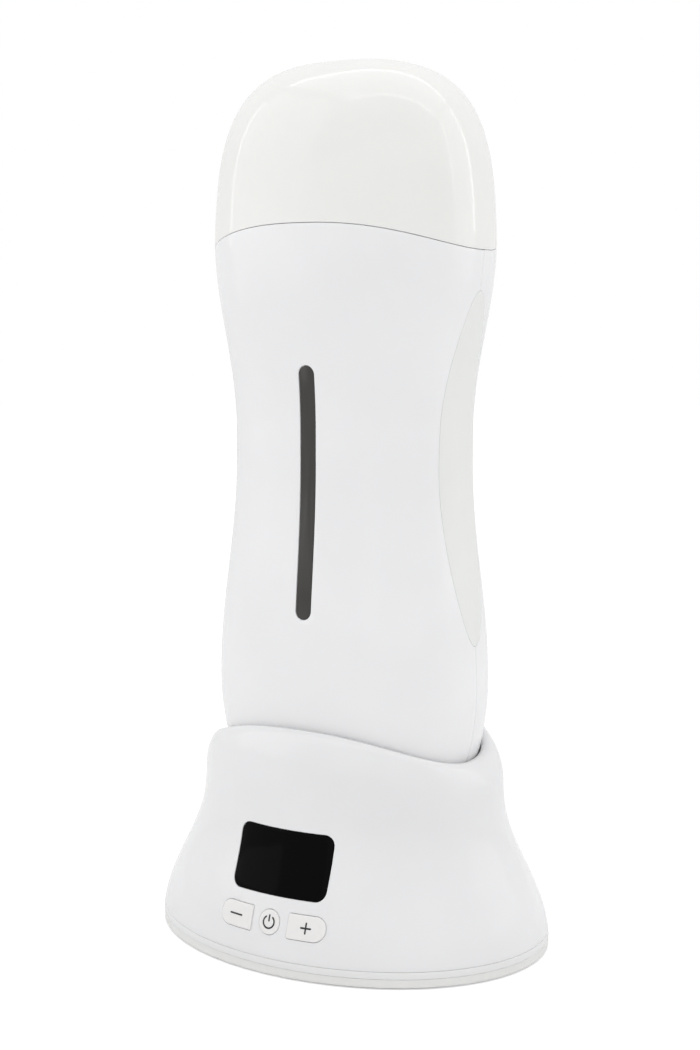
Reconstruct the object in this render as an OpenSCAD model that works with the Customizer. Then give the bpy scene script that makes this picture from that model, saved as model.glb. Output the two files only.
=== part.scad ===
// Roll-on wax heater: a waisted, heated handset for a roll-on cartridge, with a
// lift-off cap. The handset stands in a flared oval base that has a display,
// three keys, contact pins and a power inlet.
// Frame: +Z up, the front towards -Y, the origin at the centre of the footprint.
// The handset's own width follows from the cartridge, and the base's from the
// handset, so that each fits round the other at any size.

/* [Cartridge] */
// Width of the cartridge that the chamber takes
cartridge_w = 53; // [50:0.5:58]
// Depth of the cartridge, front to back
cartridge_d = 34; // [31:0.5:38]
// Gap all round the cartridge
cartridge_gap = 1; // [0.8:0.1:2]
// Depth of the chamber below its mouth
chamber_depth = 120; // [112:1:124]

/* [Handset] */
// Wall of the handset shells
shell_wall = 2; // [1.8:0.1:2.6]
// Wall of the aluminium heater sleeve
sleeve_wall = 1.2; // [0.8:0.1:2]
// Air gap between the sleeve and the shells at the waist
air_gap = 0.8; // [0.7:0.1:2]
// How much wider the hips are than the waist
hip_flare = 9.9; // [6:0.1:12]
// How much wider the shoulders are than the waist
shoulder_flare = 11.6; // [8:0.2:14]
// How much narrower the foot is than the waist
foot_taper = 5; // [3:0.2:7]
// Height of the hips above the handset's foot
hip_h = 48; // [45:1:52]
// Height of the lower end of the waist above the foot
waist_h = 108; // [100:1:114]
// Height of the straight stretch at the waist
waist_band = 8; // [4:1:12]
// Height of the wavy parting line between handset and cap, above the foot
parting_h = 165.6; // [162:0.1:170]
// Rise and fall of the parting line
parting_wave = 3.25; // [1:0.05:4.5]
// Visible gap at the parting line
parting_gap = 0.3; // [0.2:0.1:0.8]
// Squareness of the handset's oval section: 2 is an ellipse
section_n = 2.4; // [2.2:0.05:2.7]

/* [Cap] */
// Height of the cap above the parting line
cap_h = 45.7; // [42:0.1:50]
// Wall of the cap
cap_wall = 2; // [1.8:0.1:2.6]
// Squareness of the cap's dome
dome_n = 3.15; // [2.6:0.05:3.4]
// How far the neck stands up into the cap
neck_h = 12.5; // [10:0.5:14]
// Clearance between neck and cap
cap_clear = 0.2; // [0.15:0.05:0.4]

/* [Window and grips] */
// Width of the level window
window_w = 4.6; // [4:0.2:7]
// Length of the level window
window_l = 65.6; // [55:0.2:68]
// Height of the window's lower end above the handset's foot
window_h0 = 67.4; // [66:0.2:72]
// Width of the side grip inserts
grip_w = 19; // [14:0.5:22]
// Length of the side grip inserts
grip_l = 92; // [80:1:96]
// Height of the grips' middle above the handset's foot
grip_h = 106; // [102:1:110]
// Thickness of the grip inserts
grip_t = 1.1; // [0.8:0.1:1.2]

/* [Base] */
// Height of the socket's floor, where the handset stands
socket_floor_h = 22; // [21.5:0.5:26]
// Clearance between handset and socket
socket_clear = 0.5; // [0.4:0.1:1.2]
// Mean height of the rim above the table
rim_h = 56.4; // [54:0.2:62]
// Rise and fall of the wavy rim
rim_wave = 4.5; // [2:0.1:5]
// Width of the rim at the sides
rim_side = 6.1; // [5.8:0.1:8]
// Width of the rim at front and back
rim_front = 7.5; // [7:0.1:10]
// How far the rim's outer rounding reaches down
rim_drop = 8.2; // [6:0.2:9]
// How much the neck of the base narrows up to the rim, on each side
neck_draft = 2.5; // [0.5:0.1:3]
// How far the foot of the base flares out past its neck, on each side
flare_side = 11.1; // [10:0.1:15]
// The same at front and back
flare_front = 8.2; // [7.8:0.1:12]
// Height at which the flare ends
flare_h = 40; // [39:0.5:42]
// Wall of the base shell
base_wall = 2.4; // [2:0.1:2.6]
// Height of the trim band above the table, at its lower seam
band_z = 2.6; // [2.4:0.1:3]
// Height of the trim band itself
band_h = 1.9; // [1.5:0.1:2.2]
// Height of the rubber foot ring
foot_ring_h = 0.5; // [0.4:0.1:1]

/* [Display and keys] */
// Width of the display lens
lens_w = 28.2; // [26:0.2:30]
// Height of the display lens
lens_h = 16; // [14:0.2:16.6]
// Corner radius of the lens
lens_r = 2.6; // [1:0.1:3]
// Thickness of the lens
lens_t = 1.2; // [1:0.1:1.3]
// Height of the lens's middle above the table
lens_z = 27.8; // [27.4:0.1:28.4]
// Height of the key row above the table
key_z = 13.4; // [13:0.1:13.6]
// Height of a key's face
key_h = 6.1; // [5.6:0.1:6.8]
// Distance of each side key's inner edge from the centre line
key_inner = 5.4; // [5:0.1:6]
// Distance of each side key's outer end from the centre line
key_outer = 15.9; // [15.4:0.1:16.8]
// Gap all round a key
key_gap = 0.2; // [0.15:0.05:0.4]
// How far the keys stand proud
key_proud = 0.3; // [0.2:0.05:0.8]
// Travel of a key
key_travel = 0.5; // [0.3:0.05:0.55]

/* [Contacts and inlet] */
// Radius of the contact pins
pin_r = 1.5; // [1.2:0.05:1.7]
// Distance between neighbouring contact pins
pin_pitch = 8; // [7.5:0.1:8.5]
// How far the contact pins reach into the handset
pin_reach = 7.5; // [5:0.5:8]
// Radius of the inlet's two pins
inlet_pin_r = 1.19; // [1.1:0.01:1.3]
// Distance between the inlet's pins
inlet_pitch = 8.6; // [8:0.1:9]
// Depth of the inlet's recess
inlet_depth = 11; // [9:0.5:12]

/* [Hidden] */

$fn = 40;
eps = 0.01;
sides = 48;            // points round a handset section
base_sides = 56;       // points round a base section
fit_gap = 0.15;        // between pieces that are pressed or laid together
thread_gap = 0.05;     // between a screw and its hole
seat_gap = 0.1;        // between a piece and the seat that it is let into
past = 1;              // how far a cut runs past the surface that it opens

// Heights above the table
foot_z = socket_floor_h;
hip_z = foot_z + hip_h;
waist_z0 = foot_z + waist_h;
waist_z1 = waist_z0 + waist_band;
parting_z = foot_z + parting_h;
shoulder_z = parting_z;
top_z = parting_z + cap_h;
neck_top_z = parting_z + neck_h;
chamber_z = neck_top_z - chamber_depth;
shell_z = band_z + band_h;

// Half widths and depths of the handset
clear_r = cartridge_d / 2 + cartridge_gap;            // end radius of the chamber's outline
chamber_run = (cartridge_w - cartridge_d) / 2;        // half of its straight sides
sleeve_r = clear_r + sleeve_wall;
sleeve_a = chamber_run + sleeve_r;
// How much larger an oval has to be than the sleeve's outline to go round its corners
corner_push = max([for (t = [0 : 5 : 90])
    pow(pow((chamber_run + sleeve_r * cos(t)) / sleeve_a, section_n) + pow(sin(t), section_n),
        1 / section_n)]);
waist_a = sleeve_a * corner_push + air_gap + shell_wall;
waist_b = sleeve_r * corner_push + air_gap + shell_wall;
depth_ratio = waist_b / waist_a;
hip_a = waist_a + hip_flare / 2;
shoulder_a = waist_a + shoulder_flare / 2;
foot_a = waist_a - foot_taper / 2;
dome_taper = 0.05;     // share by which the dome draws in towards its top

// Blends
function mix(a, b, t) = a + (b - a) * t;
function ease(t) = (1 - cos(180 * min(1, max(0, t)))) / 2;
function signed_pow(v, p) = sign(v) * pow(abs(v), p);
// Height of a wavy edge at angle t: high at front and back, low at the sides
function wave(t) = -cos(2 * t);

// Half width and half depth of the handset and its cap at height z
function dome(u) = (1 - dome_taper * u) * pow(max(0, 1 - pow(max(0, u), dome_n)), 1 / dome_n);
function body_a(z) =
    z < hip_z ? mix(foot_a, hip_a, ease((z - foot_z) / (hip_z - foot_z)))
    : z < waist_z0 ? mix(hip_a, waist_a, ease((z - hip_z) / (waist_z0 - hip_z)))
    : z < waist_z1 ? waist_a
    : z < shoulder_z ? mix(waist_a, shoulder_a, ease((z - waist_z1) / (shoulder_z - waist_z1)))
    : shoulder_a * dome((z - shoulder_z) / (top_z - shoulder_z));
function body_b(z) = body_a(z) * depth_ratio;

// Half width and half depth of the base at height z
flare_z0 = 2;          // the lowest stretch of the base is upright
neck_a = body_a(rim_h) + rim_side;
neck_b = body_b(rim_h) + rim_front;
function flare(z) = 1 - ease((z - flare_z0) / (flare_h - flare_z0));
function draft(z) = neck_draft * (1 - z / rim_h);
function base_a(z) = neck_a + flare_side * flare(z) + draft(z);
function base_b(z) = neck_b + flare_front * flare(z) + draft(z);

// Points of the sections at angle t, moved inwards by off
function oval(t, a, b, n, z) = [a * signed_pow(cos(t), 2 / n), b * signed_pow(sin(t), 2 / n), z];
function body_point(t, z, off = 0) = oval(t, body_a(z) - off, body_b(z) - off, section_n, z);
function base_point(t, z, off = 0) = oval(t, base_a(z) - off, base_b(z) - off, 2, z);
function stadium_point(t, run, r, z) = [run * sign(cos(t)) + r * cos(t), r * sin(t), z];
function parting(t) = parting_z + parting_wave * wave(t);
function rim(t) = rim_h + rim_wave * wave(t);
// One ring of n points, each given by at(angle)
function turn(n) = [for (i = [0 : n - 1]) 360 * i / n];
function round_of(n, at) = [for (t = turn(n)) at(t)];

// Solid through rings of points that have the same count and run anticlockwise
// seen from the end. ends: "fan" closes both ends, "loop" joins the last ring to
// the first, and "strip" closes the ends of a C-shaped section.
module loft(rings, ends = "fan", tips = undef) {
    n = len(rings[0]);
    m = len(rings);
    last = (m - 1) * n;
    half = n / 2;
    walls = [for (k = [0 : m - (ends == "loop" ? 1 : 2)], i = [0 : n - 1])
        let(j = (i + 1) % n, a = k * n, b = (k + 1) % m * n)
        each [[a + i, b + j, a + j], [a + i, b + i, b + j]]];
    fans = [for (i = [0 : n - 1]) let(j = (i + 1) % n)
        each [[m * n, i, j], [m * n + 1, last + j, last + i]]];
    strips = [for (i = [0 : half - 2]) let(p = n - 1 - i)
        each [[i, i + 1, p - 1], [i, p - 1, p],
              [last + i, last + p - 1, last + i + 1], [last + i, last + p, last + p - 1]]];
    centres = [mean(rings[0]), mean(rings[m - 1])];
    middle = is_undef(tips) ? centres : tips;
    polyhedron(
        points = concat([for (r = rings) each r], ends == "fan" ? middle : []),
        faces = concat(walls, ends == "fan" ? fans : ends == "strip" ? strips : []));
}
function mean(points) =
    [for (i = [0 : len(points[0]) - 1]) [for (p = points) p[i]] * [for (p = points) 1] / len(points)];

// Slab that follows a surface: the outline is laid on it by at(point, level),
// from the level bottom to the level top
module inlay(outline, at, bottom, top, rows = 2) {
    c = mean(outline);
    function ring(share, level) = [for (p = outline) at(c + share * (p - c), level)];
    loft(concat([for (k = [1 : rows]) ring(k / rows, bottom)],
                [for (k = [rows : -1 : 1]) ring(k / rows, top)]));
}

// Outlines as point lists, anticlockwise
function arc(c, r, from, to, n = 6) =
    [for (i = [0 : n]) let(t = mix(from, to, i / n)) c + r * [cos(t), sin(t)]];
function ellipse(c, rx, ry, n = 48) = [for (t = turn(n)) c + [rx * cos(t), ry * sin(t)]];
function between(p, q, n) = [for (k = [1 : n - 1]) mix(p, q, k / n)];
function rounded(c, w, h, r) = let(x = w / 2, y = h / 2) concat(
    arc(c + [x - r, y - r], r, 0, 90), between(c + [x - r, y], c + [r - x, y], 8),
    arc(c + [r - x, y - r], r, 90, 180), between(c + [-x, y - r], c + [-x, r - y], 4),
    arc(c + [r - x, r - y], r, 180, 270), between(c + [r - x, -y], c + [x - r, -y], 8),
    arc(c + [x - r, r - y], r, 270, 360), between(c + [x, r - y], c + [x, y - r], 4));
function slot(c, w, l) = let(x = w / 2, y = l / 2 - w / 2) concat(
    arc(c + [0, y], x, 0, 180, 10), between(c + [-x, y], c + [-x, -y], 10),
    arc(c - [0, y], x, 180, 360, 10), between(c + [x, -y], c + [x, y], 10));
// Side key: round at its outer end and square at its inner end; side is -1 or 1
function side_key(side, grow) =
    let(r = key_h / 2 + grow, c = key_corner + grow,
        x0 = key_inner - grow + c, x1 = key_outer - key_h / 2,
        right = concat(arc([x1, 0], r, -90, 90, 12), between([x1, r], [x0, r], 4),
                       arc([x0, r - c], c, 90, 180, 4), arc([x0, c - r], c, 180, 270, 4),
                       between([x0, -r], [x1, -r], 4)),
        last = len(right) - 1)
    [for (i = [0 : last]) let(p = side > 0 ? right[i] : right[last - i]) [side * p[0], p[1] + key_z]];
function round_key(grow) = ellipse([0, key_z], key_h / 2 + grow, key_h / 2 + grow, 32);

// Surfaces that the inlays follow
function across(v, half, n) = pow(max(0, 1 - pow(abs(v) / half, n)), 1 / n);
front_at = function(p, level)
    [p[0], -body_b(p[1]) * across(p[0], body_a(p[1]), section_n) - level, p[1]];
side_at = function(p, level)
    [body_a(p[1]) * across(p[0], body_b(p[1]), section_n) + level, p[0], p[1]];
panel_tilt = atan2(base_b(key_z) - base_b(lens_z), lens_z - key_z);
panel_n = [0, -cos(panel_tilt), sin(panel_tilt)];
panel_at = function(p, level)
    [p[0], -base_b(p[1]) * across(p[0], base_a(p[1]), 2), p[1]] + level * panel_n;

// The panel's own frame: X to the right, Y up the panel, Z outwards, with the
// lens's middle at the origin
module on_panel(at = [0, 0, 0]) {
    translate([0, -base_b(lens_z), lens_z]) rotate([90 - panel_tilt, 0, 0]) translate(at) children();
}
key_v = -(lens_z - key_z) / cos(panel_tilt);
// Y and Z of the point that lies v up the panel and w out of it
function panel_yz(v, w) = [v * sin(panel_tilt) - w * cos(panel_tilt) - base_b(lens_z),
    v * cos(panel_tilt) + w * sin(panel_tilt) + lens_z];
function key_sag(x) = base_b(key_z) * (1 - across(x, base_a(key_z), 2)) * cos(panel_tilt);

// Plain shapes
module stadium(run, r, h) {
    for (s = [-1, 1]) translate([s * run, 0, 0]) cylinder(r = r, h = h);
    translate([-run, -r, 0]) cube([2 * run, 2 * r, h]);
}
module plate(z0, z1, inset = 0) {
    translate([0, 0, z0]) linear_extrude(z1 - z0)
        polygon(round_of(base_sides, function(t) let(p = base_point(t, 0, inset)) [p[0], p[1]]));
}
// Block with one face's lower edge at a corner, sizes as a list
module block(corner, size) {
    translate(corner) cube(size);
}
module at_each(points) {
    for (p = points) translate(p) children();
}
// Screw standing on its head
module screw(head_r, head_h, r, l) {
    cylinder(r = head_r, h = head_h);
    translate([0, 0, head_h - eps]) cylinder(r = r, h = l + eps);
}
// Round lead through points, as one tube
module wire(points, r) {
    n = len(points);
    function unit(v) = v / norm(v);
    function heading(i) = unit(unit(points[min(i + 1, n - 1)] - points[min(i, n - 2)])
                             + unit(points[max(i, 1)] - points[max(i - 1, 0)]));
    function ring(c, d) = let(u = unit(cross([1, 0, 0], d)), v = cross(d, u))
        [for (t = turn(10)) c + r * (cos(t) * u + sin(t) * v)];
    loft([for (i = [0 : n - 1]) ring(points[i], heading(i))]);
}

/* ---- Base: shells and what holds them together ---- */
screw_r = 1.2;
screw_head_r = 2.2;
screw_head_h = 1;
screw_l = 9;                        // under the head
boss_r = 3;
boss_cap = 3;                       // solid left over a screw's tip
function mirrored(x, y) = [[x, y, 0], [-x, y, 0], [-x, -y, 0], [x, -y, 0]];
shell_screw_share = [0.7, 0.5];     // places of the screws, as shares of the foot's half sizes
shell_screw_at = mirrored(shell_screw_share[0] * base_a(0), shell_screw_share[1] * base_b(0));
screw_tip_z = foot_ring_h + screw_head_h + screw_l;
leg_inset = 3.5;
leg_y = 7;
leg_at = mirrored(foot_a - leg_inset, leg_y);
cup_wall = 2;
cup_floor = 2;
skirt_z = 38;                       // where the rim's skirt meets the socket cup
rim_depth = 9;                      // solid height of the rim above the hollow shell
crest_share = 0.71;                 // share of the rim's width outside its crest
rim_drop_in = 1.6;                  // rounding on the inside of the crest
plate_gap = 0.1;
ring_inset = 1.2;
ring_w = 4;
socket_under = socket_floor_h - cup_floor;

white = [0.92, 0.92, 0.925];
warm_white = [0.91, 0.91, 0.905];
base_white = [0.885, 0.88, 0.885];

module base_body() {
    rows = 9;
    rows_in = 7;
    function ring(at) = round_of(base_sides, at);
    function socket_side(t, z, off = 0) = body_point(t, z, off - socket_clear);
    function on_rim(t, z, share) = let(o = base_point(t, z), i = socket_side(t, z))
        [mix(o[0], i[0], share), mix(o[1], i[1], share), z];
    function rim_under(t) = rim(t) - rim_depth;
    outer = [for (k = [0 : rows])
        ring(function(t) base_point(t, mix(shell_z, rim(t) - rim_drop, k / rows)))];
    round_out = [for (q = [18 : 18 : 90])
        ring(function(t) on_rim(t, rim(t) - rim_drop * (1 - sin(q)), crest_share * (1 - cos(q))))];
    round_in = [for (q = [54, 0]) ring(function(t)
        on_rim(t, rim(t) - rim_drop_in * (1 - sin(q)), 1 - (1 - crest_share) * (1 - cos(q))))];
    skirt_in = [for (k = [1 : 3])
        ring(function(t) socket_side(t, mix(rim(t) - rim_drop_in, skirt_z, k / 3)))];
    skirt_out = [for (k = [0, 1])
        ring(function(t) socket_side(t, mix(skirt_z, rim_under(t), k), -cup_wall))];
    inner = [for (k = [rows_in : -1 : 0])
        ring(function(t) base_point(t, mix(shell_z, rim_under(t), k / rows_in), base_wall))];
    loft(concat(outer, round_out, round_in, skirt_in, skirt_out, inner), "loop");
}

// Upper shell of the base: outside wall, rim and skirt, with its openings
module base_shell() {
    deep = 5;                       // cuts through the panel
    color(base_white) difference() {
        union() {
            base_body();
            at_each(shell_screw_at) translate([0, 0, band_z])
                cylinder(r = boss_r, h = screw_tip_z + boss_cap - band_z);
            on_panel() at_each(panel_boss_at) translate([0, 0, -panel_board_w])
                cylinder(r = panel_boss_r, h = panel_boss_h);
        }
        at_each(shell_screw_at) translate([0, 0, band_z - past])
            cylinder(r = screw_r + thread_gap, h = screw_tip_z + fit_gap + past - band_z);
        on_panel() at_each(panel_boss_at) translate([0, 0, -panel_board_w - past])
            cylinder(r = panel_screw_r + thread_gap, h = panel_screw_l + fit_gap);
        inlay(rounded([0, lens_z], lens_w + 2 * seat_gap, lens_h + 2 * seat_gap, lens_r + seat_gap),
              panel_at, -lens_t - thread_gap, deep);
        inlay(rounded([0, lens_z], lens_w - 2 * lens_ledge, lens_h - 2 * lens_ledge, lens_r / 2),
              panel_at, -deep, 0);
        for (outline = key_outlines) inlay(outline(key_gap), panel_at, -deep, deep);
        translate([0, inlet_floor, inlet_z]) rotate([-90, 0, 0])
            stadium(inlet_run, inlet_r + inlet_wall + fit_gap, inlet_depth + deep);
    }
}

// Cup that the handset stands in, on four legs
module socket_cup() {
    rows = 4;
    function cup(z, off) = round_of(sides, function(t) body_point(t, z, off - socket_clear));
    color("whitesmoke") difference() {
        union() {
            loft(concat(
                [cup(socket_under, -cup_wall)],
                [for (k = [0 : rows]) cup(mix(socket_floor_h, skirt_z, k / rows), -cup_wall)],
                [for (k = [rows : -1 : 0]) cup(mix(socket_floor_h, skirt_z, k / rows), 0)]));
            at_each(leg_at) translate([0, 0, band_z])
                cylinder(r = boss_r, h = socket_under - band_z + eps);
        }
        at_each(leg_at) translate([0, 0, band_z - past])
            cylinder(r = screw_r + thread_gap, h = screw_tip_z + fit_gap + past - band_z);
        contact_places() translate([0, 0, socket_under - past])
            cylinder(r = pin_r + fit_gap, h = cup_floor + 2 * past);
    }
}

module base_band() {
    color(white) difference() {
        plate(band_z, shell_z);
        plate(band_z - past, shell_z + past, base_wall);
    }
}

// Floor of the base, with the posts of the power board
module base_plate() {
    color([0.9, 0.9, 0.89]) difference() {
        union() {
            plate(foot_ring_h, band_z, plate_gap);
            at_each(board_post_at) translate([0, 0, band_z - eps])
                cylinder(r = board_post_r, h = board_z - band_z + eps);
        }
        at_each(concat(shell_screw_at, leg_at)) {
            translate([0, 0, foot_ring_h - past])
                cylinder(r = screw_head_r + fit_gap, h = screw_head_h + past);
            cylinder(r = screw_r + fit_gap, h = board_z);
        }
        at_each(board_post_at) translate([0, 0, band_z]) cylinder(r = screw_r + thread_gap, h = board_z);
    }
}

module foot_ring() {
    color([0.12, 0.14, 0.12]) difference() {
        plate(0, foot_ring_h, ring_inset);
        plate(-past, foot_ring_h + past, ring_inset + ring_w);
    }
}

module floor_screws(places) {
    color("silver") at_each(places) translate([0, 0, foot_ring_h])
        screw(screw_head_r, screw_head_h, screw_r, screw_l);
}
module base_screws() { floor_screws(shell_screw_at); }
module socket_screws() { floor_screws(leg_at); }

/* ---- Base: power side ---- */
board_t = 1.6;
board_z = 8;                        // underside of the power board
board_w = 42;
board_d = 34;
board_post_r = 2.4;
board_post_inset = [4, 3];
board_post_at = mirrored(board_w / 2 - board_post_inset[0], board_d / 2 - board_post_inset[1]);
board_screw_head_r = 2;
board_screw_bite = 3.5;
board_top = board_z + board_t;
transformer = [13, 8.4, 8];
relay = [12, 8.5, 7];
line_filter = [9, 7, 8.5];
capacitor = [4, 8.5];               // radius and height
component_x = 8.5;                  // from the board's left edge
component_y = 6;                    // from the middle line, clear of the contact pins
carrier_h = 5;
carrier_d = 9.2;
carrier_edge = 4;                   // of the contact carrier, round the outer pins
inlet_z = 13.2;
inlet_r = 4;
inlet_inner = 1.25;                 // from a pin's axis in to the end circle's centre
inlet_run = inlet_pitch / 2 - inlet_inner;
inlet_wall = 1.3;
inlet_step = 0.4;                   // the recess is a little waisted between its round ends
inlet_proud = 0.6;
inlet_flange = [1, 4];              // width and depth of the rim behind the shell
inlet_face = base_b(inlet_z) + inlet_proud;
inlet_floor = inlet_face - inlet_depth;
inlet_back_wall = 3;
inlet_back = inlet_floor - inlet_back_wall;
inlet_tail = 3.5;
inlet_tip = 1.5;                    // from the pins' tips out to the recess's mouth
inlet_lead_r = 0.8;

module contact_places() {
    for (k = [-1 : 1]) translate([k * pin_pitch, 0, 0]) children();
}

module power_board() {
    color("seagreen") difference() {
        block([-board_w / 2, -board_d / 2, board_z], [board_w, board_d, board_t]);
        at_each(board_post_at) cylinder(r = screw_r + fit_gap, h = board_top + past);
    }
}

module power_board_screws() {
    color("silver") at_each(board_post_at) translate([0, 0, board_top + screw_head_h])
        mirror([0, 0, 1]) screw(board_screw_head_r, screw_head_h, screw_r, board_t + board_screw_bite);
}

module power_components() {
    left = component_x - board_w / 2;
    right = inlet_pitch / 2;
    color("dimgray") {
        block([left, component_y, board_top], transformer);
        block([left, -component_y - relay[1], board_top], relay);
        block([right, -component_y - line_filter[1], board_top], line_filter);
    }
    color("navy") translate([right + capacitor[0], component_y + capacitor[0], board_top])
        cylinder(r = capacitor[0], h = capacitor[1]);
}

module contact_carrier() {
    w = 2 * (pin_pitch + carrier_edge);
    color("dimgray") difference() {
        block([-w / 2, -carrier_d / 2, socket_under - carrier_h], [w, carrier_d, carrier_h]);
        contact_places() cylinder(r = pin_r + thread_gap, h = socket_floor_h);
    }
}

// Sprung pins that stand up through the socket's floor
module contact_pins() {
    tip = socket_floor_h + pin_reach;
    color("goldenrod") contact_places() {
        translate([0, 0, board_top]) cylinder(r = pin_r, h = tip - pin_r - board_top);
        translate([0, 0, tip - pin_r]) sphere(r = pin_r);
    }
}

// Two-pole inlet at the back of the base, its mouth towards +Y
module inlet_housing() {
    color([0.1, 0.1, 0.1]) translate([0, 0, inlet_z]) rotate([-90, 0, 0]) difference() {
        translate([0, 0, inlet_back]) {
            stadium(inlet_run, inlet_r + inlet_wall, inlet_face - inlet_back);
            stadium(inlet_run + inlet_flange[0], inlet_r + inlet_wall + inlet_flange[0], inlet_flange[1]);
        }
        for (s = [-1, 1]) translate([s * inlet_run, 0, inlet_floor])
            cylinder(r = inlet_r, h = inlet_depth + past);
        translate([-inlet_run, inlet_step - inlet_r, inlet_floor])
            cube([2 * inlet_run, 2 * (inlet_r - inlet_step), inlet_depth + past]);
        for (s = [-1, 1]) translate([s * inlet_pitch / 2, 0, 0])
            cylinder(r = inlet_pin_r + thread_gap, h = inlet_face);
    }
}

module inlet_pins() {
    y = inlet_back - inlet_tail;
    color("silver") for (s = [-1, 1]) translate([s * inlet_pitch / 2, y, inlet_z]) rotate([-90, 0, 0])
        cylinder(r = inlet_pin_r, h = inlet_face - inlet_tip - y);
}

// From the inlet's pins down to the power board
module inlet_leads() {
    y0 = inlet_back - inlet_tail;
    y1 = board_d / 2 - 1.5 * inlet_lead_r;
    out = 3 * inlet_lead_r;
    colours = ["saddlebrown", "royalblue"];
    for (k = [0, 1]) let(x = (k - 0.5) * inlet_pitch) color(colours[k])
        wire([[x, y0, inlet_z], [x, y0 - out, inlet_z], [x, y1, inlet_z - inlet_lead_r], [x, y1, board_top]],
             inlet_lead_r);
}

/* ---- Base: display and keys ---- */
lens_ledge = 1.6;
key_corner = 0.4;                   // at the inner end of a side key
key_depth = 3.8;                    // from a key's face on the shell to its back
flange_grow = 0.8;
flange_t = 0.8;
flange_from = base_wall + 0.3;
panel_board_w = 7.6;                // depth of the control board below the panel
panel_board_t = 1.2;
panel_board = [36, 28.3];
panel_board_top = 8.3;              // edge of the board above the lens's middle
panel_screw_r = 0.8;
panel_screw_head_r = 1.6;
panel_screw_head_h = 0.8;
panel_screw_l = 3.4;
panel_boss_r = 1.9;
panel_boss_h = 3.6;
panel_boss_x = 16;
panel_boss_y = [6, -8];
panel_boss_at = [for (x = [-1, 1], y = panel_boss_y) [x * panel_boss_x, y, 0]];
module_size = [24, 12.4];           // width and height of the display module
module_room = 3.4;                  // from the panel's surface to the module's face
switch_w = 6;
switch_h = 1.8;
switch_floor = 0.5;
plunger_r = 1.5;
plunger_bite = 0.3;                 // how far a plunger is pressed into its key
key_x = [-(key_outer + key_inner) / 2, 0, (key_outer + key_inner) / 2];
key_outlines = [function(g) side_key(-1, g), function(g) round_key(g), function(g) side_key(1, g)];
cable_w = 12;
cable_t = 0.7;
cable_v = -11.4;                    // where it leaves the control board, above the lens's middle
cable_over = 1.6;                   // how far it reaches over the power board

module display_lens() {
    color([0.02, 0.02, 0.02])
        inlay(rounded([0, lens_z], lens_w, lens_h, lens_r), panel_at, -lens_t, -eps, 3);
}

module display_module() {
    color([0.15, 0.15, 0.15]) on_panel()
        block([-module_size[0] / 2, -module_size[1] / 2, -panel_board_w],
              [module_size[0], module_size[1], panel_board_w - module_room]);
}

module control_board() {
    color("seagreen") on_panel([0, 0, -panel_board_w - panel_board_t]) difference() {
        block([-panel_board[0] / 2, panel_board_top - panel_board[1], 0],
              [panel_board[0], panel_board[1], panel_board_t]);
        at_each(panel_boss_at) translate([0, 0, -past])
            cylinder(r = panel_screw_r + fit_gap, h = panel_board_t + 2 * past);
    }
}

module control_board_screws() {
    color("silver") on_panel([0, 0, -panel_board_w - panel_board_t - panel_screw_head_h])
        at_each(panel_boss_at) screw(panel_screw_head_r, panel_screw_head_h, panel_screw_r, panel_screw_l);
}

module key_switches() {
    color("dimgray") on_panel([0, key_v, -panel_board_w]) difference() {
        for (x = key_x) block([x - switch_w / 2, -switch_w / 2, 0], [switch_w, switch_w, switch_h]);
        for (x = key_x) translate([x, 0, switch_floor]) cylinder(r = plunger_r + thread_gap, h = switch_h);
    }
}

// From the back of the control board down to the power board
module flat_cable() {
    start = panel_yz(cable_v, -panel_board_w - panel_board_t - thread_gap);
    end = [cable_over - board_d / 2, board_top];
    color("lightgray") rotate([90, 0, 90]) translate([0, 0, -cable_w / 2]) linear_extrude(cable_w)
        polygon([start, start + cable_t * [1, -1], end + [-2 * cable_t, thread_gap], end, end + [0, cable_t]]);
}

module key(k) {
    color(warm_white) {
        inlay(key_outlines[k](0), panel_at, -key_depth, key_proud);
        inlay(key_outlines[k](flange_grow), panel_at, -flange_from - flange_t, -flange_from);
    }
}

module plunger(k) {
    from = -panel_board_w + switch_floor + key_travel + seat_gap;
    to = -key_sag(key_x[k]) - key_depth + plunger_bite;
    color("dimgray") on_panel([key_x[k], key_v, from]) cylinder(r = plunger_r, h = to - from);
}

module minus_key() { key(0); }
module power_key() { key(1); }
module plus_key() { key(2); }
module minus_plunger() { plunger(0); }
module power_plunger() { plunger(1); }
module plus_plunger() { plunger(2); }

/* ---- Handset ---- */
foot_chamfer = 0.8;
deck = 3;                           // thickness of the neck's top
seal_h = 3;
sleeve_top = neck_top_z - deck - seal_h;
sleeve_bottom = chamber_z - sleeve_wall;
ledge_h = 4.4;                      // room for the thermostat under the sleeve
carrier_t = 2.4;
carrier_z = sleeve_bottom - ledge_h;
cradle_w = 1.4;
cradle_in = 2.5;
cradle_h = 3.5;
film_t = 0.4;
film_h = 64;
film_lift = 5;                      // above the chamber's floor
film_wrap = 3;                      // how far the film reaches round past the straight back
window_mid = foot_z + window_h0 + window_l / 2;
window_back = 0.1;
window_sunk = 0.15;
grip_mid = foot_z + grip_h;
grip_room = 0.2;                    // under a grip insert
grip_proud = 0.12;
handset_screw_r = 1.25;
handset_screw_l = 22;
handset_head_r = 2.4;
handset_head_h = 2;
handset_head_y = 14;                // where the heads seat, behind the split
handset_boss_r = [3, 3.6];          // front and rear
boss_short = 0.6;
screw_drop = 10;                    // of the upper screws, below the sleeve's carrier
low_screw_share = 0.45;             // height of the lower screws, as a share of the upper ones'
high_screws = carrier_z - carrier_t - foot_z - screw_drop;
low_screws = low_screw_share * high_screws;
handset_screw_x = [15, 21];         // lower and upper
handset_screw_at = [for (k = [0, 1], side = [-1, 1])
    [side * handset_screw_x[k], k == 0 ? low_screws : high_screws]];
neck_low = 12;                      // how far the neck ring reaches below the parting line
neck_skin = 2;
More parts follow.
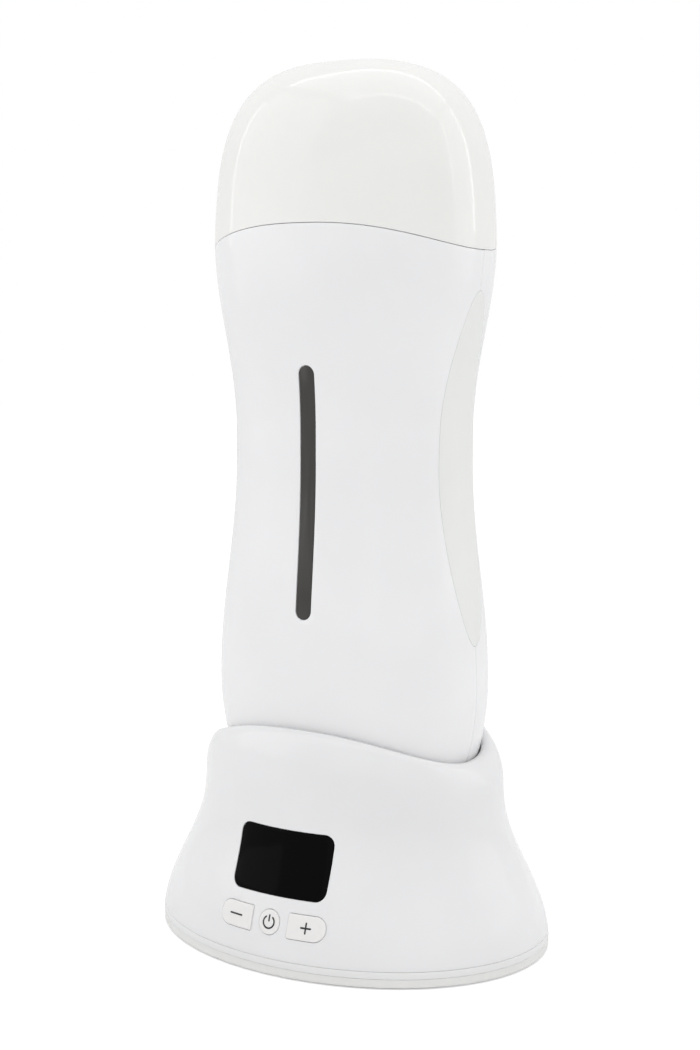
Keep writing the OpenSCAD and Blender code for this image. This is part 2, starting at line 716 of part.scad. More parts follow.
neck_chamfer = 0.8;
neck_lead = 0.6;
neck_step = 1.5;                    // from the parting line down to the neck's shoulder
socket_wall = 0.9;
socket_r = pin_r + socket_wall;
socket_h = 9;
pin_clear = 0.08;
bottom_t = 2.4;
tower_w = 1.2;
tower_h = 5;
lead_r = 0.9;
lead_at = [9.2, 4];
fuse_r = 1.6;
fuse_l = 11;
fuse_y = -7;
thermostat_r = 6;

// Half of the tube between foot and parting line, from angle from to from + 180
module half_shell(from) {
    rows = 20;
    half = sides / 2;
    function ring(s, off) = let(
        angles = [for (j = [0 : half]) from + 180 * j / half],
        heights = [for (t = angles) mix(foot_z, parting(t) - parting_gap, s)]) concat(
        [for (j = [0 : half]) body_point(angles[j], heights[j], off)],
        [for (j = [half : -1 : 0]) body_point(angles[j], heights[j], shell_wall)]);
    loft(concat([ring(0, foot_chamfer), ring(foot_chamfer / parting_h, 0)],
                [for (k = [1 : rows]) ring(k / rows, 0)]), "strip");
}

function grip_outline(grow) = ellipse([0, grip_mid], grip_w / 2 + grow, grip_l / 2 + grow);
module grip_recess() {
    for (side = [0, 1]) mirror([side, 0, 0])
        inlay(grip_outline(fit_gap), side_at, -grip_t - grip_room, 2 * grip_t, 4);
}

module handset_screw_places() {
    for (p = handset_screw_at) translate([p[0], 0, foot_z + p[1]]) rotate([-90, 0, 0]) children();
}
// Depth of the shell's outside at a boss
function boss_depth(p, r) = let(z = foot_z + p[1])
    body_b(z) * across(abs(p[0]) + r, body_a(z), section_n);
module handset_bosses(r, turned) {
    for (p = handset_screw_at) translate([p[0], 0, foot_z + p[1]]) rotate([turned, 0, 0])
        cylinder(r = r, h = boss_depth(p, r) - boss_short);
}

module handset_front_shell() {
    tip = handset_screw_l - handset_head_y + past;
    color(white) difference() {
        union() {
            half_shell(180);
            handset_bosses(handset_boss_r[0], 90);
        }
        grip_recess();
        handset_screw_places() translate([0, 0, -tip])
            cylinder(r = handset_screw_r + thread_gap, h = tip + past);
        translate([0, 0, window_mid]) rotate([90, 0, 0]) linear_extrude(hip_a)
            polygon(slot([0, 0], window_w + 2 * seat_gap, window_l + 2 * seat_gap));
    }
}

module handset_rear_shell() {
    color(white) difference() {
        union() {
            half_shell(0);
            handset_bosses(handset_boss_r[1], -90);
        }
        grip_recess();
        handset_screw_places() translate([0, 0, -past])
            cylinder(r = handset_screw_r + fit_gap, h = handset_head_y + 2 * past);
        handset_screw_places() translate([0, 0, handset_head_y])
            cylinder(r = handset_head_r + fit_gap, h = hip_a);
    }
}

module handset_screws() {
    color("silver") handset_screw_places() translate([0, 0, handset_head_y + handset_head_h])
        mirror([0, 0, 1]) screw(handset_head_r, handset_head_h, handset_screw_r, handset_screw_l);
}

module right_grip() {
    color([0.895, 0.9, 0.89]) inlay(grip_outline(0), side_at, -grip_t, grip_proud, 4);
}
module left_grip() {
    mirror([1, 0, 0]) right_grip();
}

module level_window() {
    color([0.2, 0.2, 0.19])
        inlay(slot([0, window_mid], window_w, window_l), front_at, -shell_wall - window_back, -window_sunk);
}

// Closes the handset's top round the chamber's mouth and guides the cap
module neck_ring() {
    low_z = parting_z - neck_low;
    skirt = shell_wall + fit_gap;
    function ring(at) = round_of(sides, at);
    function collar(t, z, off) =
        oval(t, cap_bore_a - cap_clear - off, cap_bore_b - cap_clear - off, section_n, z);
    function mouth(r, z) = ring(function(t) stadium_point(t, chamber_run, r, z));
    color("whitesmoke") loft([
        ring(function(t) body_point(t, low_z, skirt)),
        ring(function(t) body_point(t, mix(low_z, parting(t) - neck_step, 0.5), skirt)),
        ring(function(t) body_point(t, parting(t) - neck_step, skirt)),
        ring(function(t) collar(t, parting(t) - neck_step + seat_gap, 0)),
        ring(function(t) collar(t, neck_top_z - neck_chamfer, 0)),
        ring(function(t) collar(t, neck_top_z, neck_chamfer)),
        mouth(clear_r + neck_lead, neck_top_z),
        mouth(clear_r, neck_top_z - neck_lead),
        mouth(clear_r, neck_top_z - deck),
        ring(function(t) collar(t, neck_top_z - deck, neck_skin)),
        ring(function(t) collar(t, mix(low_z, parting_z, 1 / 3), neck_skin)),
        ring(function(t) body_point(t, low_z, skirt + neck_skin))], "loop");
}

module sleeve_ring(r_in, r_out, z0, z1) {
    difference() {
        translate([0, 0, z0]) stadium(chamber_run, r_out, z1 - z0);
        translate([0, 0, z0 - past]) stadium(chamber_run, r_in, z1 - z0 + 2 * past);
    }
}

module neck_seal() {
    color("gray") sleeve_ring(clear_r + seat_gap, sleeve_r, sleeve_top, sleeve_top + seal_h);
}

// Drawn cup that the cartridge stands in, with a slot behind the level window
module heater_sleeve() {
    room = air_gap;
    color("silver") difference() {
        translate([0, 0, sleeve_bottom]) stadium(chamber_run, sleeve_r, sleeve_top - sleeve_bottom);
        translate([0, 0, chamber_z]) stadium(chamber_run, clear_r, chamber_depth);
        translate([0, 0, window_mid]) rotate([90, 0, 0]) linear_extrude(2 * sleeve_r)
            polygon(slot([0, 0], window_w + 2 * room, window_l + 2 * room));
    }
}

// Heating film round the back and ends of the sleeve, open at the front
module heating_film() {
    low = chamber_z + film_lift;
    run = chamber_run + film_wrap;
    color("darkorange") difference() {
        sleeve_ring(sleeve_r, sleeve_r + film_t, low, low + film_h);
        block([-run, -2 * sleeve_r, low - past], [2 * run, 2 * sleeve_r, film_h + 2 * past]);
    }
}

// Cross wall with a cradle that holds the sleeve's foot
module sleeve_carrier() {
    outer = sleeve_r + cradle_w;
    color("dimgray") difference() {
        union() {
            loft([for (z = [carrier_z - carrier_t, carrier_z])
                round_of(sides, function(t) body_point(t, z, shell_wall + fit_gap))]);
            sleeve_ring(clear_r - cradle_in, outer, carrier_z - eps, sleeve_bottom);
            sleeve_ring(sleeve_r + seat_gap, outer, sleeve_bottom - eps, sleeve_bottom + cradle_h);
        }
        for (s = [-1, 1]) translate([s * lead_at[0], lead_at[1], carrier_z - carrier_t - past])
            cylinder(r = lead_r + 2 * fit_gap, h = carrier_t + 2 * past);
    }
}

module thermostat() {
    color("gainsboro") translate([0, 0, carrier_z]) cylinder(r = thermostat_r, h = ledge_h);
}

module thermal_fuse() {
    color("tan") translate([-fuse_l / 2, fuse_y, carrier_z - carrier_t - fuse_r]) rotate([0, 90, 0])
        cylinder(r = fuse_r, h = fuse_l);
}

// Floor of the handset, with three towers that hold the contact sockets
module bottom_plate() {
    color(white) difference() {
        union() {
            loft([for (z = [foot_z, foot_z + bottom_t])
                round_of(sides, function(t) body_point(t, z, shell_wall + fit_gap))]);
            contact_places() translate([0, 0, foot_z + bottom_t - eps])
                cylinder(r = socket_r + tower_w, h = tower_h);
        }
        contact_places() translate([0, 0, foot_z - past])
            cylinder(r = socket_r + thread_gap, h = bottom_t + tower_h + 2 * past);
    }
}

module contact_sockets() {
    color("goldenrod") contact_places() translate([0, 0, foot_z]) difference() {
        cylinder(r = socket_r, h = socket_h);
        translate([0, 0, -past]) cylinder(r = pin_r + pin_clear, h = socket_h);
    }
}

// From the outer contact sockets up to the heating film
module handset_leads() {
    colours = ["saddlebrown", "royalblue"];
    low = foot_z + socket_h;
    rise = low + tower_h + past;
    for (k = [0, 1]) let(s = 2 * k - 1, x = s * lead_at[0], y = lead_at[1]) color(colours[k])
        wire([[s * pin_pitch, 0, low], [s * pin_pitch, 0, rise], [x, y, rise + 2 * tower_h],
              [x, y, sleeve_bottom]], lead_r);
}

/* ---- Cap ---- */
cap_bore_a = body_a(neck_top_z) - cap_wall;
cap_bore_b = body_b(neck_top_z) - cap_wall;
cap_shelf = 1.2;                    // step inside the cap above the neck
cap_lip = 0.3;
cap_skirt = 1.7;                    // height of the straight skirt, in rises of the parting line

module cap() {
    inner_h = top_z - cap_wall - neck_top_z;
    skirt_top = parting_z + cap_skirt * parting_wave;
    function ring(at) = round_of(sides, at);
    function swell(q) = pow(sin(q), 2 / dome_n);
    function shrink(q) = pow(cos(q), 2 / dome_n);
    inside = [for (q = [86, 74, 60, 44, 26, 0]) ring(function(t)
        oval(t, (cap_bore_a - cap_shelf) * shrink(q), (cap_bore_b - cap_shelf) * shrink(q), section_n,
             neck_top_z + inner_h * swell(q)))];
    bore = [for (k = [0, 1]) ring(function(t)
        oval(t, cap_bore_a, cap_bore_b, section_n, mix(neck_top_z, parting(t), k)))];
    foot = [ring(function(t) body_point(t, parting(t), cap_lip))];
    wall = [for (k = [0 : 3])
        ring(function(t) body_point(t, mix(parting(t) + cap_lip, skirt_top, k / 3)))];
    crown = [for (q = [16 : 8 : 88]) ring(function(t) body_point(t, mix(shoulder_z, top_z, swell(q))))];
    color([0.915, 0.915, 0.905]) loft(concat(inside, bore, foot, wall, crown),
        tips = [[0, 0, neck_top_z + inner_h], [0, 0, top_z]]);
}

base_shell();
socket_cup();
base_band();
base_plate();
foot_ring();
display_lens();
display_module();
control_board();
key_switches();
control_board_screws();
power_board();
power_components();
power_board_screws();
contact_carrier();
contact_pins();
inlet_housing();
inlet_pins();
inlet_leads();
flat_cable();
base_screws();
socket_screws();
minus_key();
minus_plunger();
power_key();
power_plunger();
plus_key();
plus_plunger();
handset_front_shell();
handset_rear_shell();
left_grip();
right_grip();
level_window();
neck_ring();
neck_seal();
heater_sleeve();
heating_film();
thermostat();
thermal_fuse();
sleeve_carrier();
bottom_plate();
contact_sockets();
handset_leads();
handset_screws();
cap();
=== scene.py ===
"""Roll-on wax heater: fine outer pieces, finishes and studio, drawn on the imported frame.

All lengths are in metres. +Z is up, the front faces -Y, and the origin is the centre
of the footprint, on the table. Angles round a section start at +X.
"""

import math
from functools import partial

import bmesh
import bpy
from bpy.props import FloatProperty, FloatVectorProperty, PointerProperty
from mathutils import Matrix, Vector


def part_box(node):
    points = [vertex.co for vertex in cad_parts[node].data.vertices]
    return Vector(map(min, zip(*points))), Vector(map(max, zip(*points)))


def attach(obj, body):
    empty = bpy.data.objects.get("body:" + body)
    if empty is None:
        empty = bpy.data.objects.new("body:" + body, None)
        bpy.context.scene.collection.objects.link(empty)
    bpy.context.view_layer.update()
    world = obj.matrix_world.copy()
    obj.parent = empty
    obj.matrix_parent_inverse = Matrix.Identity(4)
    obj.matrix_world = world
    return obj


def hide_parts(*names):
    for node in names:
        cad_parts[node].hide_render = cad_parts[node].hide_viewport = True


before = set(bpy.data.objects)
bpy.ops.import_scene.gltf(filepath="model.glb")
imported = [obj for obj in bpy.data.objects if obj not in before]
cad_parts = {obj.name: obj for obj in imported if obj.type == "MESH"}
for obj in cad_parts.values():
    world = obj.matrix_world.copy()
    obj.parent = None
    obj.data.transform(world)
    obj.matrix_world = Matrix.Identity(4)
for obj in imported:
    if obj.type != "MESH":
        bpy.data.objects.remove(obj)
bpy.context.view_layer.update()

bl_info = {
    "name": "Roll-on wax heater",
    "version": (1, 0, 0),
    "blender": (4, 5, 0),
    "location": "View3D > Sidebar > Wax Heater",
    "description": "Dresses the frame of a roll-on wax heater and its docking base",
    "category": "Object",
}

MM = 0.001
ROUND = 192               # points round the handset and base
SHARP = math.radians(35)  # edges sharper than this keep their crease
WELD = 0.002 * MM         # points closer than this are one
REACH = 3 * MM            # how far a cutter goes past the surface that it opens
DEEP = 5 * MM             # the same, in through the base's front


def srgb(code):
    """Linear red, green, blue and alpha of an sRGB hex code such as #EBEBEC."""
    parts = [int(code[i:i + 2], 16) / 255 for i in (1, 3, 5)]
    return tuple(c / 12.92 if c < 0.04045 else ((c + 0.055) / 1.055) ** 2.4 for c in parts) + (1.0,)


def number(name, description, default, **limits):
    """A number that the sidebar shows."""
    return FloatProperty(name=name, description=description, default=default, **limits)


def length(name, description, millimetres):
    """A length that the sidebar shows, with its default in millimetres."""
    return number(name, description, millimetres * MM, unit="LENGTH", precision=5)


def colour(name, description, code):
    """A colour that the sidebar shows, with its default as an sRGB hex code."""
    return FloatVectorProperty(name=name, description=description, default=srgb(code), size=4,
                               subtype="COLOR", min=0, max=1)


# ---- Settings -------------------------------------------------------------------------


class HandsetShape(bpy.types.PropertyGroup):
    """Sizes of the handset, its cap and its inserts"""

    waist_half_width: length("Waist half width", "Half width at the waist", 32.814)
    waist_half_depth: length("Waist half depth", "Half depth at the waist", 22.879)
    hip_flare: length("Hip flare", "How much wider the hips are than the waist", 9.9)
    shoulder_flare: length("Shoulder flare", "How much wider the shoulders are than the waist", 11.6)
    foot_taper: length("Foot taper", "How much narrower the foot is than the waist", 5)
    hip_height: length("Hip height", "Height of the hips above the handset's foot", 48)
    waist_height: length("Waist height", "Height of the waist's lower end above the foot", 108)
    waist_band: length("Waist band", "Height of the straight stretch at the waist", 8)
    parting_height: length("Parting height", "Height of the parting line above the foot", 165.6)
    parting_wave: length("Parting wave", "Rise and fall of the parting line", 3.25)
    parting_gap: length("Parting gap", "Visible gap under the cap", 0.12)
    section_power: number("Section", "Squareness of the oval section", 2.4, min=2, max=4)
    dome_power: number("Dome", "Squareness of the cap's dome", 3.15, min=2, max=5)
    dome_taper: number("Dome taper", "How far the dome draws in to its top", 0.05, min=0, max=0.2,
                       subtype="FACTOR")
    wall: length("Wall", "Wall of the shells and the cap", 2)
    seam_gap: length("Seam", "Gap between the front and rear shells", 0.06)
    edge_round: length("Edge round", "Rounding of the shells' edges", 0.16)
    window_width: length("Window width", "Width of the level window", 4.6)
    window_length: length("Window length", "Length of the level window", 65.6)
    window_height: length("Window height", "Height of the window's lower end above the foot", 67.4)
    grip_width: length("Grip width", "Width of the side grip inserts", 19)
    grip_length: length("Grip length", "Length of the side grip inserts", 92)
    grip_height: length("Grip height", "Height of the grips' middle above the foot", 106)
    grip_thickness: length("Grip thickness", "Thickness of the grip inserts", 1.1)
    low_screw_side: length("Lower screws", "Distance of the lower rear screws from the middle", 15)
    high_screw_side: length("Upper screws", "Distance of the upper rear screws from the middle", 21)
    screw_hole: length("Screw hole", "Radius of the rear screw holes", 2.55)


class BaseShape(bpy.types.PropertyGroup):
    """Sizes of the docking base, its display and its keys"""

    rim_height: length("Rim height", "Mean height of the rim above the table", 56.4)
    rim_wave: length("Rim wave", "Rise and fall of the wavy rim", 4.5)
    rim_side: length("Rim width, sides", "Width of the rim at the sides", 6.1)
    rim_front: length("Rim width, front", "Width of the rim at front and back", 7.5)
    rim_drop: length("Rim rounding", "How far the rim's outer rounding reaches down", 8.2)
    socket_clear: length("Socket clearance", "Visible gap between handset and socket", 0.3)
    neck_draft: length("Neck draft", "How much the neck narrows up to the rim", 2.5)
    flare_side: length("Flare, sides", "How far the foot flares past the neck", 11.1)
    flare_front: length("Flare, front", "How far the foot flares at front and back", 8.2)
    flare_height: length("Flare height", "Height at which the flare ends", 40)
    wall: length("Wall", "Wall of the base shell", 2.4)
    seam_round: length("Seam rounding", "Rounding of the edges at the seams", 0.12)
    seam_gap: length("Seam", "Gap between shell, trim band and floor plate", 0.07)
    lens_width: length("Display width", "Width of the display lens", 28.2)
    lens_height: length("Display height", "Height of the display lens", 16)
    lens_corner: length("Display corner", "Corner radius of the display lens", 2.6)
    lens_level: length("Display level", "Height of the lens's middle above the table", 27.8)
    key_level: length("Key level", "Height of the key row above the table", 13.4)
    key_height: length("Key height", "Height of a key's face", 6.1)
    key_inner: length("Key inner end", "Inner edge of a side key from the centre line", 5.4)
    key_outer: length("Key outer end", "Outer end of a side key from the centre line", 15.9)
    key_corner: length("Key corner", "Corner radius at a side key's inner end", 0.4)
    key_gap: length("Key gap", "Gap all round a key", 0.1)
    key_proud: length("Key stand", "How far the keys stand proud of the shell", 0.3)
    key_round: length("Key rounding", "Rounding of a key's edge", 0.35)


class HeaterColours(bpy.types.PropertyGroup):
    """Colours of the finishes"""

    handset: colour("Handset", "Cool white of the handset shells", "#ECECED")
    cap: colour("Cap", "Warm white of the cap", "#ECECEA")
    grip: colour("Grips", "Warm grey white of the grip inserts", "#E6E7E5")
    base: colour("Base", "Grey white of the base shell", "#E7E7E8")
    band: colour("Band", "White of the trim band", "#E6E6E6")
    plate: colour("Plate", "Warm grey white of the floor plate", "#E5E5E3")
    key: colour("Keys", "Warm white of the keys", "#E9E8E7")
    window: colour("Window", "Smoke brown of the level window", "#2B2925")
    ink: colour("Ink", "Print on the keys", "#141416")


class StudioSettings(bpy.types.PropertyGroup):
    """Camera, lamps and surroundings"""

    azimuth: number("Azimuth", "Camera angle to the right of the front", math.radians(31),
                    unit="ROTATION")
    elevation: number("Elevation", "Camera angle above the horizon", math.radians(6.852), unit="ROTATION")
    roll: number("Roll", "Camera roll", math.radians(0.107), unit="ROTATION")
    distance: length("Distance", "From the camera to its target", 453.94)
    target_height: length("Target height", "Height that the camera looks at", 111.592)
    target_side: length("Target side", "How far right of the axis the camera looks", -0.864)
    focal_length: number("Focal length", "In millimetres, on a 36 mm sensor", 57.6, unit="CAMERA")
    dome_strength: number("Dome", "Strength of the white surroundings", 0.87, min=0)
    panel_brightness: number("Panels", "Brightness of the tent's overhead panel", 0.46, min=0)
    tube_brightness: number("Tubes", "Brightness of the tubes along the panels' edges", 3.2, min=0)
    floor_radius: number("Floor radius", "Radius of the floor", 3, unit="LENGTH")
    floor_lift: number("Floor lift", "Light that the camera sees added to the floor", 0.3, min=0)


# ---- Blends, sections and outlines ---------------------------------------------------


def mix(a, b, t):
    """From a to b as t goes from 0 to 1."""
    return a + (b - a) * t


def ease(t):
    """Soft start and stop between 0 and 1."""
    return (1 - math.cos(math.pi * min(1.0, max(0.0, t)))) / 2


def signed_power(v, p):
    """v to the power p, with its sign kept."""
    return math.copysign(abs(v) ** p, v)


def wave(t):
    """Height of a wavy edge at angle t: high at front and back, low at the sides."""
    return -math.cos(2 * t)


def across(v, half, n):
    """Depth left at v, as a share, on an oval of that half width and squareness n."""
    return max(0.0, 1 - abs(v / half) ** n) ** (1 / n)


def oval(t, a, b, n, z):
    """Point at angle t and height z on an oval of half sizes a and b and squareness n."""
    return Vector((a * signed_power(math.cos(t), 2 / n), b * signed_power(math.sin(t), 2 / n), z))


def turn(count):
    """Angles all the way round."""
    return [2 * math.pi * i / count for i in range(count)]


def around(at):
    """Ring of the points at(angle) all the way round."""
    return [at(t) for t in turn(ROUND)]


def level(z):
    """The same height all the way round."""
    return lambda t: z


def wall_rings(at, start, end, steps, inward=0.0, first=1):
    """Rings on the wall at(t, z, inward), in steps from the height start(t) to end(t)."""
    return [around(lambda t: at(t, mix(start(t), end(t), k / steps), inward))
            for k in range(first, steps + 1)]


def arc(cx, cy, r, start, end, steps):
    """Points on an arc, from one angle to the other in degrees."""
    angles = [math.radians(mix(start, end, i / steps)) for i in range(steps + 1)]
    return [(cx + r * math.cos(t), cy + r * math.sin(t)) for t in angles]


def run(p, q, steps):
    """Points between p and q, without the ends."""
    return [(mix(p[0], q[0], k / steps), mix(p[1], q[1], k / steps)) for k in range(1, steps)]


class HandsetForm:
    """Sections of the handset and its cap, at any height"""

    def __init__(self, shape):
        self.shape = shape
        self.n = shape.section_power
        self.foot_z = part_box("bottom_plate")[0].z
        self.top_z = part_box("cap")[1].z
        self.hip_z = self.foot_z + shape.hip_height
        self.waist_z = self.foot_z + shape.waist_height
        self.band_z = self.waist_z + shape.waist_band
        self.parting_z = self.foot_z + shape.parting_height
        self.waist = shape.waist_half_width
        self.hip = self.waist + shape.hip_flare / 2
        self.shoulder = self.waist + shape.shoulder_flare / 2
        self.foot = self.waist - shape.foot_taper / 2
        self.depth_ratio = shape.waist_half_depth / shape.waist_half_width

    def dome(self, u):
        u = max(0.0, min(1.0, u))
        n = self.shape.dome_power
        return (1 - self.shape.dome_taper * u) * (1 - u ** n) ** (1 / n)

    def half_width(self, z):
        if z < self.hip_z:
            return mix(self.foot, self.hip, ease((z - self.foot_z) / (self.hip_z - self.foot_z)))
        if z < self.waist_z:
            return mix(self.hip, self.waist, ease((z - self.hip_z) / (self.waist_z - self.hip_z)))
        if z < self.parting_z:
            return mix(self.waist, self.shoulder, ease((z - self.band_z) / (self.parting_z - self.band_z)))
        return self.shoulder * self.dome((z - self.parting_z) / (self.top_z - self.parting_z))

    def half_depth(self, z):
        return self.half_width(z) * self.depth_ratio

    def point(self, t, z, inward=0.0):
        return oval(t, self.half_width(z) - inward, self.half_depth(z) - inward, self.n, z)

    def parting(self, t):
        return self.parting_z + self.shape.parting_wave * wave(t)

    def face(self, sign, x, z, proud):
        """Point on the rear (sign 1) or the front (sign -1) at x and height z, standing proud."""
        return Vector((x, sign * (self.half_depth(z) * across(x, self.half_width(z), self.n) + proud), z))

    def side(self, sign, y, z, proud):
        """Point on the right (sign 1) or the left side (sign -1) at y and height z."""
        return Vector((sign * (self.half_width(z) * across(y, self.half_depth(z), self.n) + proud), y, z))


class BaseForm:
    """Sections of the base, at any height"""

    flare_start = 2 * MM     # height above the table up to which the flare is at its widest
    crest_share = 0.71       # where the rim's crest lies, as a share of its width from outside
    inner_drop = 1.1 * MM    # how far the rim's inner rounding reaches down

    def __init__(self, shape, handset):
        self.shape = shape
        self.handset = handset
        self.neck_a = handset.half_width(shape.rim_height) + shape.rim_side
        self.neck_b = handset.half_depth(shape.rim_height) + shape.rim_front
        self.seam_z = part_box("base_band")[1].z + shape.seam_gap
        lens, keys = shape.lens_level, shape.key_level
        self.tilt = math.atan2(self.half_depth(keys) - self.half_depth(lens), lens - keys)
        self.panel_normal = Vector((0, -math.cos(self.tilt), math.sin(self.tilt)))

    def spread(self, z):
        shape = self.shape
        flare = 1 - ease((z - self.flare_start) / (shape.flare_height - self.flare_start))
        draft = (shape.rim_height - z) / (shape.rim_height - self.seam_z)
        return flare, shape.neck_draft * min(1.0, draft)

    def half_width(self, z):
        flare, draft = self.spread(z)
        return self.neck_a + self.shape.flare_side * flare + draft

    def half_depth(self, z):
        flare, draft = self.spread(z)
        return self.neck_b + self.shape.flare_front * flare + draft

    def point(self, t, z, inward=0.0):
        return oval(t, self.half_width(z) - inward, self.half_depth(z) - inward, 2, z)

    def socket(self, t, z, inward=0.0):
        return self.handset.point(t, z, inward - self.shape.socket_clear)

    def rim(self, t):
        return self.shape.rim_height + self.shape.rim_wave * wave(t)

    def on_rim(self, t, z, share):
        """Point at height z, a share of the way from the outside to the socket."""
        p = self.point(t, z).lerp(self.socket(t, z), share)
        return Vector((p.x, p.y, z))

    def panel(self, x, z, proud):
        """Point on the front at x and height z, standing proud along the panel's normal."""
        y = -self.half_depth(z) * across(x, self.half_width(z), 2)
        return Vector((x, y, z)) + proud * self.panel_normal


# ---- Meshes ---------------------------------------------------------------------------


def mesh_object(name, points, faces):
    """A smooth object with sharp edges kept, from points and faces."""
    mesh = bpy.data.meshes.new(name)
    mesh.from_pydata(points, [], faces)
    work = bmesh.new()
    work.from_mesh(mesh)
    bmesh.ops.remove_doubles(work, verts=work.verts, dist=WELD)
    bmesh.ops.recalc_face_normals(work, faces=work.faces)
    work.to_mesh(mesh)
    work.free()
    mesh.shade_smooth()
    mesh.set_sharp_from_angle(angle=SHARP)
    obj = bpy.data.objects.new(name, mesh)
    bpy.context.scene.collection.objects.link(obj)
    return obj


def loft(name, rings, closed=False):
    """Skin through rings of equal count: a closed loop of rings, or one with its ends filled."""
    count = len(rings[0])
    points = [p for ring in rings for p in ring]
    spans = range(len(rings) if closed else len(rings) - 1)
    faces = []
    for k in spans:
        here, there = k * count, (k + 1) % len(rings) * count
        faces += [(here + i, here + (i + 1) % count, there + (i + 1) % count, there + i)
                  for i in range(count)]
    if not closed:
        for start in (0, (len(rings) - 1) * count):
            middle = sum((points[start + i] for i in range(count)), Vector()) / count
            points.append(middle)
            faces += [(start + i, start + (i + 1) % count, len(points) - 1) for i in range(count)]
    return mesh_object(name, points, faces)


def inlay(name, outline, surface, profile, rows=3):
    """Slab that follows a surface.

    outline(grow) gives its outline, surface(u, v, proud) places a point, and profile
    lists (grow, proud) from the underside round the edge to the top."""
    def ring(share, grow, proud):
        line = outline(grow)
        cu = sum(p[0] for p in line) / len(line)
        cv = sum(p[1] for p in line) / len(line)
        return [surface(mix(cu, u, share), mix(cv, v, share), proud) for u, v in line]

    shares = [k / rows for k in range(1, rows)]
    rings = [ring(share, *profile[0]) for share in shares]
    rings += [ring(1, grow, proud) for grow, proud in profile]
    rings += [ring(share, *profile[-1]) for share in reversed(shares)]
    return loft(name, rings)


def ribbon(name, path, width, surface, bottom, top, steps=6):
    """Thin raised stroke with round ends along a path on a surface."""
    half = width / 2
    stations = []
    for i, (u, v) in enumerate(path):
        before = path[max(0, i - 1)]
        after = path[min(len(path) - 1, i + 1)]
        du, dv = after[0] - before[0], after[1] - before[1]
        size = math.hypot(du, dv)
        stations.append((u, v, du / size, dv / size, half))
    angles = [math.pi / 2 * k / steps for k in range(1, steps)]

    def round_end(station, sign):
        u, v, du, dv, w = station
        return [(u + sign * w * math.sin(t) * du, v + sign * w * math.sin(t) * dv, du, dv, w * math.cos(t))
                for t in angles]

    stations = list(reversed(round_end(stations[0], -1))) + stations + round_end(stations[-1], 1)
    rings = [[surface(u - s * w * dv, v + s * w * du, proud)
              for s, proud in ((1, bottom), (-1, bottom), (-1, top), (1, top))]
             for u, v, du, dv, w in stations]
    return loft(name, rings)


def cut(obj, *cutters):
    """Takes the cutters out of the object and deletes them."""
    for cutter in cutters:
        step = obj.modifiers.new("cut", "BOOLEAN")
        step.operation = "DIFFERENCE"
        step.solver = "EXACT"
        step.object = cutter
    graph = bpy.context.evaluated_depsgraph_get()
    mesh = bpy.data.meshes.new_from_object(obj.evaluated_get(graph))
    obj.modifiers.clear()
    obj.data = mesh
    for cutter in cutters:
        bpy.data.objects.remove(cutter)
    mesh.shade_smooth()
    mesh.set_sharp_from_angle(angle=SHARP)


def rounded_edge(r, top, steps=4):
    """Profile points of an edge rounded by r under the level top."""
    angles = [math.pi / 2 * k / steps for k in range(steps + 1)]
    return [(-r * (1 - math.cos(t)), top - r * (1 - math.sin(t))) for t in angles]


def ellipse_line(u, v, ru, rv, count=96):
    """Outline of an ellipse, which grows by what it is called with, as every outline here does."""
    return lambda grow: [(u + (ru + grow) * math.cos(t), v + (rv + grow) * math.sin(t)) for t in turn(count)]


def bends(*corners):
    """Closed outline of arcs, each (x, y, radius, start, end, steps) and a count of points up
    to the next arc."""
    points = []
    for (*here, along), after in zip(corners, corners[1:] + corners[:1]):
        line = arc(*here)
        points += line + run(line[-1], arc(*after[:-1])[0], along)
    return points


def slot_line(u, v, width, height, steps=16, along=24):
    """Outline of an upright slot with round ends."""
    def line(grow):
        r = width / 2 + grow
        y = height / 2 - width / 2
        return bends((u, v + y, r, 0, 180, steps, along), (u, v - y, r, 180, 360, steps, along))
    return line


def rounded_line(u, v, width, height, corner, steps=8, along=16, up=10):
    """Outline of a rectangle with rounded corners."""
    def line(grow):
        r = max(0.05 * MM, corner + grow)
        x, y = width / 2 + grow - r, height / 2 + grow - r
        return bends((u + x, v + y, r, 0, 90, steps, along), (u - x, v + y, r, 90, 180, steps, up),
                     (u - x, v - y, r, 180, 270, steps, along), (u + x, v - y, r, 270, 360, steps, up))
    return line


def side_key_line(shape, sign, steps=16, corner_steps=5, along=6):
    """Outline of a side key: round at its outer end, square at its inner end."""
    def line(grow):
        r = shape.key_height / 2 + grow
        c = max(0.04 * MM, shape.key_corner + grow)
        inner = shape.key_inner - grow + c
        outer = shape.key_outer - shape.key_height / 2
        points = bends((outer, 0, r, -90, 90, steps, along), (inner, r - c, c, 90, 180, corner_steps, along),
                       (inner, c - r, c, 180, 270, corner_steps, along))
        return [(sign * u, v + shape.key_level) for u, v in points]
    return line


def key_lines(shape):
    """Outline of each key by name."""
    r = shape.key_height / 2
    return {"minus": side_key_line(shape, -1), "power": ellipse_line(0, shape.key_level, r, r),
            "plus": side_key_line(shape, 1)}


def lens_line(shape):
    return rounded_line(0, shape.lens_level, shape.lens_width, shape.lens_height, shape.lens_corner)


def grip_line(form):
    shape = form.shape
    return ellipse_line(0, form.foot_z + shape.grip_height, shape.grip_width / 2, shape.grip_length / 2)


def window_line(form, less=0.0):
    """Outline of the level window, made smaller by less."""
    shape = form.shape
    z = form.foot_z + shape.window_height + shape.window_length / 2
    return slot_line(0, z, shape.window_width - less, shape.window_length - less)


# ---- Finishes -------------------------------------------------------------------------


def add(tree, kind, values=None, links=None, **settings):
    """Adds a node with its settings, socket values and links."""
    made = tree.nodes.new(kind)
    for name, value in settings.items():
        setattr(made, name, value)
    for socket, value in (values or {}).items():
        made.inputs[socket].default_value = value
    for socket, source in (links or {}).items():
        tree.links.new(source, made.inputs[socket])
    return made


